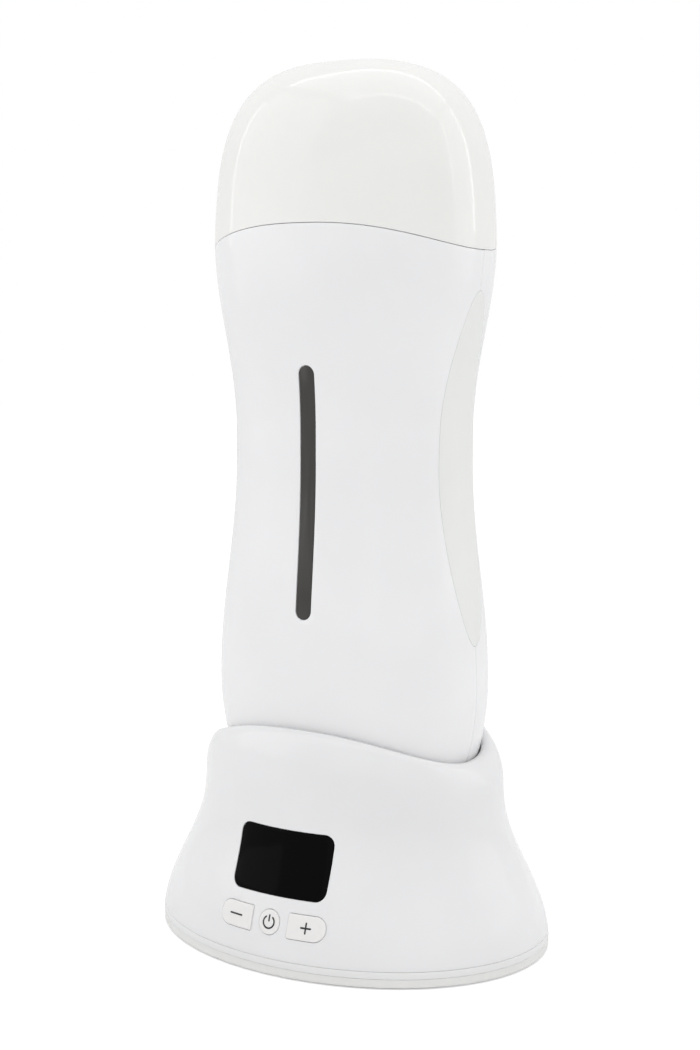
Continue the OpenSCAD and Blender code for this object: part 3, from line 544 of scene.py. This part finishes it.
def new_material(name):
    """An empty material and its node tree, in place of any older one."""
    old = bpy.data.materials.get(name)
    if old:
        bpy.data.materials.remove(old)
    made = bpy.data.materials.new(name)
    made.use_nodes = True
    made.node_tree.nodes.clear()
    return made, made.node_tree


BLEED = 0.5 * MM        # how far light travels in white plastic
FLOW = 28 * MM          # size of the flow marks in a moulding's colour
HAZE = 6 * MM           # size of the marks that handling leaves in its gloss
FAINT, FULL = 0.3, 0.7  # a noise pattern seldom leaves this range


def skin(tree, sheen, low, high, relief, depth, values, links=None):
    """Surface whose roughness follows the sheen pattern from low to high, and whose bumps
    follow the relief pattern."""
    gloss = add(tree, "ShaderNodeMapRange",
                {"From Min": FAINT, "From Max": FULL, "To Min": low, "To Max": high},
                {"Value": sheen.outputs["Fac"]})
    bumps = add(tree, "ShaderNodeBump", {"Strength": 1.0, "Distance": depth},
                {"Height": relief.outputs["Fac"]})
    shader = add(tree, "ShaderNodeBsdfPrincipled", values,
                 {"Roughness": gloss.outputs["Result"], "Normal": bumps.outputs["Normal"], **(links or {})})
    add(tree, "ShaderNodeOutputMaterial", None, {"Surface": shader.outputs["BSDF"]})


def moulded(name, tone, roughness, grain_mm, relief_mm, mottle=0.03, wear=0.06, milky=0.0, ior=1.53,
            shine=0.5):
    """Injection-moulded plastic: mould texture as relief, faint flow mottling in its colour,
    and handling haze in its gloss. milky lets light bleed a little way through it."""
    material, tree = new_material(name)
    place = add(tree, "ShaderNodeTexCoord").outputs["Object"]
    flow = add(tree, "ShaderNodeTexNoise", {"Scale": 1 / FLOW, "Detail": 3.0, "Roughness": 0.5},
               {"Vector": place})
    haze = add(tree, "ShaderNodeTexNoise", {"Scale": 1 / HAZE, "Detail": 4.0, "Roughness": 0.6},
               {"Vector": place})
    grain = add(tree, "ShaderNodeTexNoise", {"Scale": 1 / (grain_mm * MM), "Detail": 2.0},
                {"Vector": place})
    ramp = add(tree, "ShaderNodeValToRGB", None, {"Fac": flow.outputs["Fac"]})
    dark, light = ramp.color_ramp.elements
    dark.position, light.position = FAINT, FULL
    dark.color = tuple(c * (1 - mottle) for c in tone[:3]) + (1.0,)
    light.color = tuple(tone)
    skin(tree, haze, roughness - wear / 2, roughness + wear, grain, relief_mm * MM,
         {"IOR": ior, "Specular IOR Level": shine, "Subsurface Weight": milky, "Subsurface Scale": BLEED,
          "Subsurface Radius": (1.0, 0.95, 0.9)}, {"Base Color": ramp.outputs["Color"]})
    return material


def metal(name, tone, roughness, line_mm, axis):
    """Plated or drawn metal: fine lines along its axis vary its gloss and relief."""
    material, tree = new_material(name)
    place = add(tree, "ShaderNodeTexCoord").outputs["Object"]
    stretch = [1 / (line_mm * MM)] * 3
    stretch[axis] *= 0.05
    lines = add(tree, "ShaderNodeMapping", {"Scale": stretch}, {"Vector": place})
    streak = add(tree, "ShaderNodeTexNoise", {"Scale": 1.0, "Detail": 3.0}, {"Vector": lines.outputs[0]})
    skin(tree, streak, roughness * 0.8, roughness * 1.3, streak, 0.004 * MM,
         {"Base Color": tone, "Metallic": 1.0})
    return material


def finish(piece, material, slot, body, *nodes):
    """Gives a piece its material, seats it on its body and hides what it replaces; slot is not used."""
    piece.data.materials.clear()
    piece.data.materials.append(material)
    if nodes:
        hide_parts(*nodes)
    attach(piece, body)


def dress(material, *nodes):
    """Gives solids that are carried over a material."""
    for node in nodes:
        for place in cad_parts[node].material_slots:
            place.material = material


def forms(context):
    """Sections of the handset and of the base, from the sidebar's sizes."""
    handset = HandsetForm(context.scene.heater_handset)
    return handset, BaseForm(context.scene.heater_base, handset)


# ---- Pieces ---------------------------------------------------------------------------


class HEATER_OT_cap(bpy.types.Operator):
    """Build the cap: a thin dome with a rounded lip over the wavy parting line"""

    bl_idname = "heater.cap"
    bl_label = "Cap"

    def execute(self, context):
        form, _ = forms(context)
        shape = form.shape
        lip = shape.edge_round
        neck_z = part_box("neck_ring")[1].z
        bore = form.half_width(neck_z) - shape.wall
        depth = form.half_depth(neck_z) - shape.wall
        stop = 1.2 * MM                 # ledge that rests on the neck ring
        mouth = 0.4 * MM                # height of the bore's edge above the parting line
        apex = 0.98                     # the last ring inside the dome, just short of its top
        skirt = 1.7 * shape.parting_wave
        swell = 2 / shape.dome_power

        def above_parting(rise):
            return lambda t: form.parting(t) + rise

        def inside(u):
            """Ring of the hollow dome, u from 0 at the neck to 1 at the top."""
            q = math.pi / 2 * u
            z = mix(neck_z, form.top_z - shape.wall, math.sin(q) ** swell)
            share = max(0.0, math.cos(q)) ** swell
            return around(lambda t: oval(t, (bore - stop) * share, (depth - stop) * share, form.n, z))

        def bore_ring(share):
            end = above_parting(mouth)
            return around(lambda t: oval(t, bore, depth, form.n, mix(neck_z, end(t), share)))

        def lip_ring(q):
            edge = above_parting(lip * (1 - math.sin(q)))
            return around(lambda t: form.point(t, edge(t), lip * (1 - math.cos(q))))

        def crown_ring(q):
            z = mix(form.parting_z, form.top_z, math.sin(q) ** swell)
            return around(lambda t: form.point(t, z))

        start = math.asin((skirt / (form.top_z - form.parting_z)) ** (1 / swell))
        rings = [inside(apex * (1 - k / 12)) for k in range(13)]
        rings += [bore_ring(k / 4) for k in range(5)]
        rings += [lip_ring(q) for q in (math.pi / 2, math.pi / 3, math.pi / 6, 0)]
        rings += wall_rings(form.point, above_parting(lip), level(form.parting_z + skirt), 8)
        rings += [crown_ring(mix(start, math.pi / 2, k / 48)) for k in range(1, 48)]
        cap = loft("cap_dome", rings)
        # ABS from a finely polished mould: warm white, slightly milky, with crisp reflections
        white = moulded("ABS high-gloss moulded, warm white", context.scene.heater_colours.cap, 0.1, 2.6,
                        0.002, wear=0.03, milky=0.6)
        finish(cap, white, "cap_white", "cap", "cap")
        return {"FINISHED"}


class HEATER_OT_shells(bpy.types.Operator):
    """Build the handset's front and rear shells, with their seam, window slot and grip seats"""

    bl_idname = "heater.shells"
    bl_label = "Handset shells"

    def execute(self, context):
        form, _ = forms(context)
        # ABS from a polished mould: a clear gloss, slightly milky, with a trace of orange peel
        white = moulded("ABS gloss moulded, cool white", context.scene.heater_colours.handset, 0.13, 2.2,
                        0.003, wear=0.03, milky=0.6)
        for name, sign in (("front", -1), ("rear", 1)):
            shell = self.half(form, f"handset_{name}", sign)
            cutters = [self.grip_seat(form, side) for side in (-1, 1)]
            if sign < 0:
                cutters.append(self.window_slot(form))
            else:
                cutters += [self.screw_hole(form, x, z) for x, z in self.screw_places(form)]
            cut(shell, *cutters)
            finish(shell, white, "handset_white", "handset", f"handset_{name}_shell")
        for number, (x, z) in enumerate(self.screw_places(form), 1):
            boss = self.screw_boss(form, f"rear_screw_boss_{number}", x, z)
            finish(boss, white, "handset_white", "handset")
        return {"FINISHED"}

    def screw_places(self, form):
        """Side and height of each screw that holds the rear shell."""
        lo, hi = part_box("handset_screws")
        head = hi.x - form.shape.high_screw_side
        rows = ((form.shape.low_screw_side, lo.z + head), (form.shape.high_screw_side, hi.z - head))
        return [(side * x, z) for x, z in rows for side in (-1, 1)]

    def screw_hole(self, form, x, z):
        """Cutter for a screw hole through the rear shell, its edge broken."""
        line = ellipse_line(x, z, form.shape.screw_hole, form.shape.screw_hole, 48)
        chamfer = 0.15 * MM
        profile = [(0, -REACH), (0, -chamfer), (chamfer, 0), (chamfer, REACH)]
        return inlay("screw_hole", line, partial(form.face, 1), profile)

    def screw_boss(self, form, name, x, z):
        """Tube from the rear shell in to the seat of a screw's head."""
        hole = form.shape.screw_hole
        wall = 1.05 * MM
        overlap = 0.3 * MM       # how far the tube reaches into the shell's wall
        head = 2 * MM            # height of a screw's head
        sunk = form.shape.wall - overlap
        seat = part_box("handset_screws")[1].y - head

        def ring(r, at_seat):
            outline = ellipse_line(x, z, r, r, 48)(0)
            return [Vector((u, seat, v)) if at_seat else form.face(1, u, v, -sunk) for u, v in outline]

        rings = [ring(hole, True), ring(hole, False), ring(hole + wall, False), ring(hole + wall, True)]
        return loft(name, rings, closed=True)

    def half(self, form, name, sign):
        """One shell: the seam's edges are rounded, and so is the edge under the cap."""
        shape = form.shape
        edge = shape.edge_round
        seam = shape.seam_gap / 2
        small = edge / 2
        count = ROUND // 2
        inner_steps = 48
        rows = 110
        foot_edge = 0.8 * MM

        def section(z_at, inward):
            def wall(t, inset):
                p = form.point(t, z_at(t), inset)
                return Vector((p.x, sign * max(abs(p.y), seam), p.z))

            def corner(t, q):
                x = form.half_width(z_at(t)) - inward - small * (1 - math.cos(q))
                return Vector((math.cos(t) * x, sign * (seam + small * (1 - math.sin(q))), z_at(t)))

            rounds = (math.pi / 2, math.pi / 4, 0)
            start = [corner(0, q) for q in rounds]
            body = [wall(sign * math.pi * j / count, inward) for j in range(1, count)]
            end = [corner(math.pi, q) for q in reversed(rounds)]
            back = [wall(sign * math.pi * j / inner_steps, shape.wall) for j in range(inner_steps, -1, -1)]
            return start + body + end + back

        def height(share, drop=0.0):
            return lambda t: mix(form.foot_z, form.parting(t) - shape.parting_gap, share) - drop

        rings = [section(height(0), foot_edge), section(height(0, -foot_edge), 0)]
        rings += [section(height(k / rows), 0) for k in range(1, rows)]
        rings += [section(height(1, edge * (1 - math.sin(q))), edge * (1 - math.cos(q)))
                  for q in (0, math.pi / 6, math.pi / 3, math.pi / 2)]
        return loft(name, rings)

    def grip_seat(self, form, side):
        """Cutter for the seat of a grip insert, its edge broken."""
        gap = 0.05 * MM
        spare = 0.2 * MM         # room behind the insert
        profile = [(gap, -form.shape.grip_thickness - spare), (gap, -gap), (2 * gap, 0), (2 * gap, REACH)]
        return inlay("grip_seat", grip_line(form), partial(form.side, side), profile, 4)

    def window_slot(self, form):
        """Cutter for the window's slot, which opens out to a small bevel."""
        gap = 0.02 * MM
        bevel = 0.3 * MM
        throat = 0.1 * MM
        profile = [(gap, -REACH), (gap, -bevel), (throat, -throat), (bevel, 0), (bevel, REACH)]
        return inlay("window_slot", window_line(form), partial(form.face, -1), profile)


class HEATER_OT_grips(bpy.types.Operator):
    """Build the two lens-shaped grip inserts in the handset's sides"""

    bl_idname = "heater.grips"
    bl_label = "Grip inserts"

    def execute(self, context):
        form, _ = forms(context)
        proud = 0.05 * MM
        edge = 0.2 * MM
        profile = [(0, -form.shape.grip_thickness)] + rounded_edge(edge, proud)
        # ABS from a spark-eroded mould: a fine even grain that takes the shine off
        satin = moulded("ABS satin moulded, grip", context.scene.heater_colours.grip, 0.42, 0.35, 0.006,
                        milky=0.5)
        for name, side in (("left", -1), ("right", 1)):
            grip = inlay(f"{name}_grip_insert", grip_line(form), partial(form.side, side), profile, 8)
            finish(grip, satin, "grip_grey", "handset", f"{name}_grip")
        return {"FINISHED"}


class HEATER_OT_window(bpy.types.Operator):
    """Build the smoked level window, just below the shell's surface"""

    bl_idname = "heater.window"
    bl_label = "Level window"

    def execute(self, context):
        form, _ = forms(context)
        gap = 0.05 * MM
        sunk = 0.15 * MM
        profile = [(0, -form.shape.wall)] + rounded_edge(sunk, -sunk)
        pane = inlay("level_window_pane", window_line(form, 2 * gap), partial(form.face, -1), profile, 4)
        # Polycarbonate, smoked: a dark brown grey behind a clear smooth reflection
        smoke = moulded("Polycarbonate smoked, moulded", context.scene.heater_colours.window, 0.12, 4, 0.001,
                        wear=0.03, ior=1.58)
        finish(pane, smoke, "smoked_window", "handset", "level_window")
        return {"FINISHED"}


class HEATER_OT_base_shell(bpy.types.Operator):
    """Build the base's flared shell with its wavy rim and its openings"""

    bl_idname = "heater.base_shell"
    bl_label = "Base shell"

    def execute(self, context):
        _, form = forms(context)
        shape = form.shape
        low = form.seam_z
        edge = shape.seam_round
        cup_z = 38 * MM          # lower end of the socket's wall
        cup_wall = 2 * MM
        solid_rim = 9 * MM       # depth of the rim's solid part
        crest = form.crest_share

        def under_rim(drop):
            return lambda t: form.rim(t) - drop

        def rim_ring(q, drop, start, width):
            """Ring on the rim's rounding, q from 0 at its lower edge to a right angle at the crest."""
            z = under_rim(drop * (1 - math.sin(q)))
            return around(lambda t: form.on_rim(t, z(t), start + width * (1 - math.cos(q))))

        rings = [around(lambda t: form.point(t, low + edge * (1 - math.sin(q)), edge * (1 - math.cos(q))))
                 for q in (math.pi / 2, math.pi / 4, 0)]
        rings += wall_rings(form.point, level(low + edge), under_rim(shape.rim_drop), 36)
        rings += [rim_ring(math.radians(q), shape.rim_drop, 0, crest) for q in range(6, 91, 6)]
        rings += [rim_ring(q, form.inner_drop, 1, crest - 1) for q in (1.2, 0.9, 0.6, 0.3, 0)]
        rings += wall_rings(form.socket, under_rim(form.inner_drop), level(cup_z), 8)
        rings += wall_rings(form.socket, level(cup_z), under_rim(solid_rim), 1, -cup_wall, 0)
        rings += wall_rings(form.point, under_rim(solid_rim), level(low), 10, shape.wall, 0)
        shell = loft("base_body", rings, closed=True)
        cut(shell, *self.openings(form))
        # The same ABS as the handset's, a shade greyer
        white = moulded("ABS gloss moulded, grey white", context.scene.heater_colours.base, 0.11, 2.2,
                        0.003, wear=0.03, milky=0.6)
        finish(shell, white, "base_white", "base", "base_shell")
        return {"FINISHED"}

    def openings(self, form):
        """Cutters for the seats of the lens, keys and inlet, their edges broken."""
        shape = form.shape
        gap = 0.1 * MM
        seat = [(gap, -DEEP), (gap, -2 * gap), (1.7 * gap, -0.6 * gap), (3 * gap, 0), (3 * gap, REACH)]
        made = [inlay("lens_seat", lens_line(shape), form.panel, seat)]
        gap = shape.key_gap
        bevel = 0.06 * MM
        seat = [(gap, -DEEP), (gap, -bevel), (gap + bevel / 3, -bevel / 3), (gap + bevel, 0),
                (gap + bevel, REACH)]
        made += [inlay("key_seat", line, form.panel, seat) for line in key_lines(shape).values()]
        lo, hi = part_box("inlet_housing")
        flange_up, flange_side = 1 * MM, 2 * MM      # the inlet's flange lies behind the shell
        gap = 0.15 * MM
        radius = (hi.z - lo.z) / 2 - flange_up + gap
        reach = (hi.x - lo.x) / 2 - flange_side + gap
        corner = radius - 0.01 * MM
        mouth = rounded_line(0, (hi.z + lo.z) / 2, 2 * reach, 2 * radius, corner)
        made.append(inlay("inlet_seat", mouth, lambda x, z, y: Vector((x, y, z)),
                          [(0, lo.y), (0, hi.y + DEEP)]))
        return made


class HEATER_OT_base_trim(bpy.types.Operator):
    """Build the trim band and the rubber ring under the base; the ring's dark colour is partly painted shade
    """

    bl_idname = "heater.base_trim"
    bl_label = "Base trim"

    def execute(self, context):
        _, form = forms(context)
        edge, gap = form.shape.seam_round, form.shape.seam_gap
        low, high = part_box("base_band")[0].z + gap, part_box("base_band")[1].z
        band = self.hoop(form, "trim_band", low, high, 0, form.shape.wall, edge)
        # The same ABS, polished a little less, so the band reads as a moulding of its own
        white = moulded("ABS gloss moulded, trim white", context.scene.heater_colours.band, 0.16, 2.2,
                        0.003, wear=0.03, milky=0.6)
        finish(band, white, "band_white", "base", "base_band")
        lo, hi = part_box("foot_ring")
        inward = form.half_width(0) - hi.x
        width = 4 * MM
        ring = self.hoop(form, "rubber_and_shade_ring", lo.z, hi.z, inward, width, edge)
        # Rubber: a dull green black without reflections. Its darkness is also painted shade: it stands in
        # for the shadow line under the base's foot.
        rubber = moulded("Rubber moulded, dark, with painted shade", srgb("#3A403B"), 0.75, 0.4, 0.01, ior=1.52)
        finish(ring, rubber, "foot_rubber", "base", "foot_ring")
        return {"FINISHED"}

    def hoop(self, form, name, low, high, inward, width, edge):
        """Flat ring round the foot of the base, with its outer edges rounded."""
        quarter = (math.pi / 2, math.pi / 4, 0)
        levels = [(low + edge * (1 - math.sin(q)), edge * (1 - math.cos(q))) for q in quarter]
        levels += [(high - edge * (1 - math.sin(q)), edge * (1 - math.cos(q))) for q in reversed(quarter)]
        levels += [(high, width), (low, width)]
        rings = [around(lambda t: form.point(t, z, inward + inset)) for z, inset in levels]
        return loft(name, rings, closed=True)


class HEATER_OT_display(bpy.types.Operator):
    """Build the black display lens"""

    bl_idname = "heater.display"
    bl_label = "Display"

    def execute(self, context):
        _, form = forms(context)
        thickness = 1.2 * MM
        edge = 0.12 * MM
        sunk = 0.02 * MM
        profile = [(0, -thickness)] + rounded_edge(edge, -sunk)
        pane = inlay("display_pane", lens_line(form.shape), form.panel, profile, 6)
        # Black acrylic with an antireflective hard coat: deep black, with next to no reflection
        black = moulded("Acrylic black, polished", srgb("#020203"), 0.08, 5, 0.0005, wear=0.02, ior=1.49,
                        shine=0.06)
        finish(pane, black, "lens_black", "base", "display_lens")
        return {"FINISHED"}


class HEATER_OT_keys(bpy.types.Operator):
    """Build the minus, power and plus keys and the print on them"""

    bl_idname = "heater.keys"
    bl_label = "Keys"

    def execute(self, context):
        _, form = forms(context)
        shape = form.shape
        tone = context.scene.heater_colours
        back = -3.8 * MM
        z = shape.key_level
        proud = shape.key_proud
        profile = [(0, back)] + rounded_edge(shape.key_round, proud, 6)
        # ABS from a finely textured mould: a soft sheen
        satin = moulded("ABS satin moulded, key white", tone.key, 0.34, 0.6, 0.002, milky=0.6)
        for name, line in key_lines(shape).items():
            key = inlay(f"{name}_key_top", line, form.panel, profile, 4)
            finish(key, satin, "key_white", f"{name}_button", f"{name}_key")
        stroke = 0.42 * MM
        bar = 1.85 * MM          # half of the minus
        arm = 1.3 * MM           # half of the plus
        ring = 1.6 * MM          # radius of the power mark
        stem = (0.3 * MM, 1.75 * MM)
        opening = 38             # half of the power ring's opening, in degrees
        under, over = 0.05 * MM, 0.02 * MM      # the print's depth in the key and its height
        middle = (shape.key_inner + shape.key_outer) / 2
        flat = math.cos(form.tilt)
        circle = [(u, z + (v - z) * flat) for u, v in arc(0, z, ring, 90 + opening, 450 - opening, 40)]
        marks = {
            "minus_mark": ("minus", [(-middle - bar, z), (-middle + bar, z)]),
            "plus_mark_level": ("plus", [(middle - arm, z), (middle + arm, z)]),
            "plus_mark_upright": ("plus", [(middle, z - arm * flat), (middle, z + arm * flat)]),
            "power_mark_ring": ("power", circle),
            "power_mark_stem": ("power", [(0, z + stem[0]), (0, z + stem[1] * flat)]),
        }
        # Pad-printed ink: flat near-black
        ink = moulded("Pad-printed ink", tone.ink, 0.5, 0.2, 0.001)
        for name, (button, path) in marks.items():
            if len(path) == 2:
                path = [path[0]] + run(*path, 8) + [path[1]]
            mark = ribbon(name, path, stroke, form.panel, proud - under, proud + over)
            finish(mark, ink, "component_black", f"{button}_button")
        return {"FINISHED"}


class HEATER_OT_hardware(bpy.types.Operator):
    """Give the solids that are carried over their finishes"""

    bl_idname = "heater.hardware"
    bl_label = "Inner parts"

    def execute(self, context):
        # PBT from a spark-eroded mould: plain matt white
        dress(moulded("PBT matt moulded, inner white", srgb("#E4E4E4"), 0.5, 0.5, 0.006),
              "socket_cup", "neck_ring", "bottom_plate")
        # ABS from a coarser eroded mould: duller and warmer than the shell above it
        plate = context.scene.heater_colours.plate
        dress(moulded("ABS satin moulded, floor plate", plate, 0.45, 0.5, 0.008, milky=0.5), "base_plate")
        # PBT, black: an even dark grey
        dress(moulded("PBT black, moulded", srgb("#2A2A2A"), 0.5, 0.5, 0.006),
              "display_module", "key_switches", "power_components", "contact_carrier", "minus_plunger",
              "power_plunger", "plus_plunger", "sleeve_carrier")
        # Nylon, black: deeper, with a faint sheen
        dress(moulded("Nylon black, moulded", srgb("#1A1A1A"), 0.45, 0.4, 0.006), "inlet_housing")
        # Solder mask: glossy green, mottled by the glass weave below it
        dress(moulded("Solder mask on glass laminate", srgb("#1F6B3A"), 0.35, 0.8, 0.01, mottle=0.25),
              "control_board", "power_board")
        # Polyimide film: clear amber with a smooth gloss
        dress(moulded("Polyimide film", srgb("#B8741F"), 0.22, 3, 0.004, mottle=0.2, wear=0.04),
              "heating_film")
        # Silicone: soft, dull grey
        dress(moulded("Silicone moulded, grey", srgb("#9A9C9C"), 0.6, 0.5, 0.004, ior=1.42), "neck_seal")
        # PVC, extruded: smooth off-white
        dress(moulded("PVC extruded", srgb("#D6D6D2"), 0.4, 0.6, 0.003),
              "inlet_leads", "flat_cable", "thermal_fuse", "handset_leads")
        # Zinc plate on steel: light grey, with blurred reflections
        dress(metal("Steel, zinc plated", srgb("#C9CACC"), 0.35, 0.3, 2),
              "control_board_screws", "power_board_screws", "base_screws", "socket_screws",
              "handset_screws", "thermostat")
        # Plated brass: warm yellow and fairly bright
        dress(metal("Brass, plated", srgb("#D9B56A"), 0.25, 0.3, 2), "contact_pins", "contact_sockets")
        # Nickel plate on brass: bright, a touch warm, with lines along the pins
        dress(metal("Brass, nickel plated", srgb("#D2CFC8"), 0.18, 0.3, 1), "inlet_pins")
        # Drawn aluminium: pale grey with fine upright lines
        dress(metal("Aluminium, drawn", srgb("#D5D6D8"), 0.32, 0.4, 2), "heater_sleeve")
        return {"FINISHED"}


class HEATER_OT_stage(bpy.types.Operator):
    """Set the floor, surroundings, lamps and camera"""

    bl_idname = "heater.stage"
    bl_label = "Studio"

    def execute(self, context):
        studio = context.scene.heater_studio
        self.surroundings(context, studio)
        self.floor(studio)
        self.lamps(context, studio)
        self.camera(context, studio)
        context.scene.view_settings.view_transform = "Standard"
        return {"FINISHED"}

    def surroundings(self, context, studio):
        """A white dome: plain light on the object, pure white to the camera."""
        world = bpy.data.worlds.new("White dome")
        world.use_nodes = True
        tree = world.node_tree
        tree.nodes.clear()
        path = add(tree, "ShaderNodeLightPath")
        seen = add(tree, "ShaderNodeMath", {}, {0: path.outputs["Is Camera Ray"],
                                               1: path.outputs["Is Transmission Ray"]}, operation="MAXIMUM")
        strength = add(tree, "ShaderNodeMapRange", {"To Min": studio.dome_strength, "To Max": 1.0},
                       {"Value": seen.outputs["Value"]})
        light = add(tree, "ShaderNodeBackground", {"Color": (1, 1, 1, 1)},
                    {"Strength": strength.outputs["Result"]})
        add(tree, "ShaderNodeOutputWorld", None, {"Surface": light.outputs["Background"]})
        context.scene.world = world

    def floor(self, studio):
        """White floor: the camera sees it lifted to the background's white, shadow included."""
        sides = 64
        points = [Vector((studio.floor_radius * math.cos(t), studio.floor_radius * math.sin(t), 0))
                  for t in turn(sides)]
        floor = mesh_object("floor", points, [tuple(range(sides))])
        # Matt paper: white, with no shine
        material, tree = new_material("Paper, white")
        path = add(tree, "ShaderNodeLightPath")
        sheet = add(tree, "ShaderNodeBsdfDiffuse", {"Color": (0.9, 0.9, 0.9, 1)})
        lift = add(tree, "ShaderNodeMath", {1: studio.floor_lift}, {0: path.outputs["Is Camera Ray"]},
                   operation="MULTIPLY")
        glow = add(tree, "ShaderNodeEmission", {"Color": (1, 1, 1, 1)}, {"Strength": lift.outputs["Value"]})
        both = add(tree, "ShaderNodeAddShader", {}, {0: sheet.outputs["BSDF"], 1: glow.outputs["Emission"]})
        add(tree, "ShaderNodeOutputMaterial", None, {"Surface": both.outputs["Shader"]})
        floor.data.materials.append(material)

    def lamps(self, context, studio):
        """A light tent: a panel overhead, at each side and in front, with tubes along their edges.

        Places are right of the camera's axis, behind the heater and above the table, in
        metres. The panel overhead faces down and the others face the heater."""
        panel, tube = studio.panel_brightness, studio.tube_brightness
        down = Matrix.Identity(4)
        left, right = Matrix.Rotation(math.pi / 2, 4, "Y"), Matrix.Rotation(-math.pi / 2, 4, "Y")
        away = Matrix.Rotation(math.pi / 2, 4, "X")
        places = {
            "top_panel": ((0.07, -0.065, 0.8), (1.05, 0.47), down, panel),
            "right_panel": ((0.65, -0.05, 0.45), (0.7, 0.42), left, 0.82 * panel),
            "left_panel": ((-0.55, -0.065, 0.45), (0.7, 0.47), right, 0.88 * panel),
            "front_panel": ((0, -0.95, 0.4), (1.2, 0.8), away, 0.44 * panel),
            "rear_top_tube": ((0.07, 0.17, 0.79), (1.03, 0.03), down, 0.9 * tube),
            "rear_right_tube": ((0.64, 0.155, 0.5), (0.5, 0.03), left, 0.8 * tube),
            "rear_left_tube": ((-0.54, 0.2, 0.42), (0.45, 0.03), right, 0.5 * tube),
            "front_top_tube": ((0.07, -0.31, 0.79), (0.97, 0.025), down, 0.7 * tube),
            "front_right_tube": ((0.64, -0.26, 0.55), (0.45, 0.025), left, 0.5 * tube),
        }
        tent = Matrix.Rotation(studio.azimuth, 4, "Z")
        for name, (place, size, facing, brightness) in places.items():
            lamp = bpy.data.lights.new(name, "AREA")
            lamp.shape = "RECTANGLE"
            lamp.size, lamp.size_y = size
            lamp.energy = brightness * math.pi * size[0] * size[1]
            holder = bpy.data.objects.new(name, lamp)
            holder.matrix_world = tent @ Matrix.Translation(place) @ facing
            context.scene.collection.objects.link(holder)

    def camera(self, context, studio):
        """The camera at the photograph's angle."""
        lens = bpy.data.cameras.new("camera")
        lens.lens = studio.focal_length
        lens.sensor_fit = "VERTICAL"
        lens.sensor_height = 36
        lens.clip_start = 0.01
        holder = bpy.data.objects.new("camera", lens)
        flat = math.cos(studio.elevation)
        out = Vector((math.sin(studio.azimuth) * flat, -math.cos(studio.azimuth) * flat,
                      math.sin(studio.elevation)))
        right = Vector((math.cos(studio.azimuth), math.sin(studio.azimuth), 0))
        target = right * studio.target_side + Vector((0, 0, studio.target_height))
        up = out.cross(right)
        turned = Matrix((right, up, out)).transposed() @ Matrix.Rotation(studio.roll, 3, "Z")
        holder.matrix_world = Matrix.Translation(target + out * studio.distance) @ turned.to_4x4()
        context.scene.collection.objects.link(holder)
        context.scene.camera = holder


# ---- Sidebar --------------------------------------------------------------------------

STEPS = (HEATER_OT_cap, HEATER_OT_shells, HEATER_OT_grips, HEATER_OT_window, HEATER_OT_base_shell,
         HEATER_OT_base_trim, HEATER_OT_display, HEATER_OT_keys, HEATER_OT_hardware, HEATER_OT_stage)
GROUPS = {"heater_handset": HandsetShape, "heater_base": BaseShape, "heater_colours": HeaterColours,
          "heater_studio": StudioSettings}


class HEATER_PT_panel(bpy.types.Panel):
    """Settings and steps of the wax heater"""

    bl_idname = "HEATER_PT_panel"
    bl_label = "Wax Heater"
    bl_space_type = "VIEW_3D"
    bl_region_type = "UI"
    bl_category = "Wax Heater"

    def draw(self, context):
        for name in GROUPS:
            box = self.layout.box()
            group = getattr(context.scene, name)
            for key in group.bl_rna.properties.keys():
                if key not in ("rna_type", "name"):
                    box.prop(group, key)
        for step in STEPS:
            self.layout.operator(step.bl_idname)


def register():
    for group in GROUPS.values():
        bpy.utils.register_class(group)
    for name, group in GROUPS.items():
        setattr(bpy.types.Scene, name, PointerProperty(type=group))
    for step in STEPS:
        bpy.utils.register_class(step)
    bpy.utils.register_class(HEATER_PT_panel)


def unregister():
    bpy.utils.unregister_class(HEATER_PT_panel)
    for step in reversed(STEPS):
        bpy.utils.unregister_class(step)
    for name, group in GROUPS.items():
        delattr(bpy.types.Scene, name)
        bpy.utils.unregister_class(group)


def main():
    register()
    for step in STEPS:
        space, call = step.bl_idname.split(".")
        getattr(getattr(bpy.ops, space), call)()


if __name__ == "__main__":
    main()
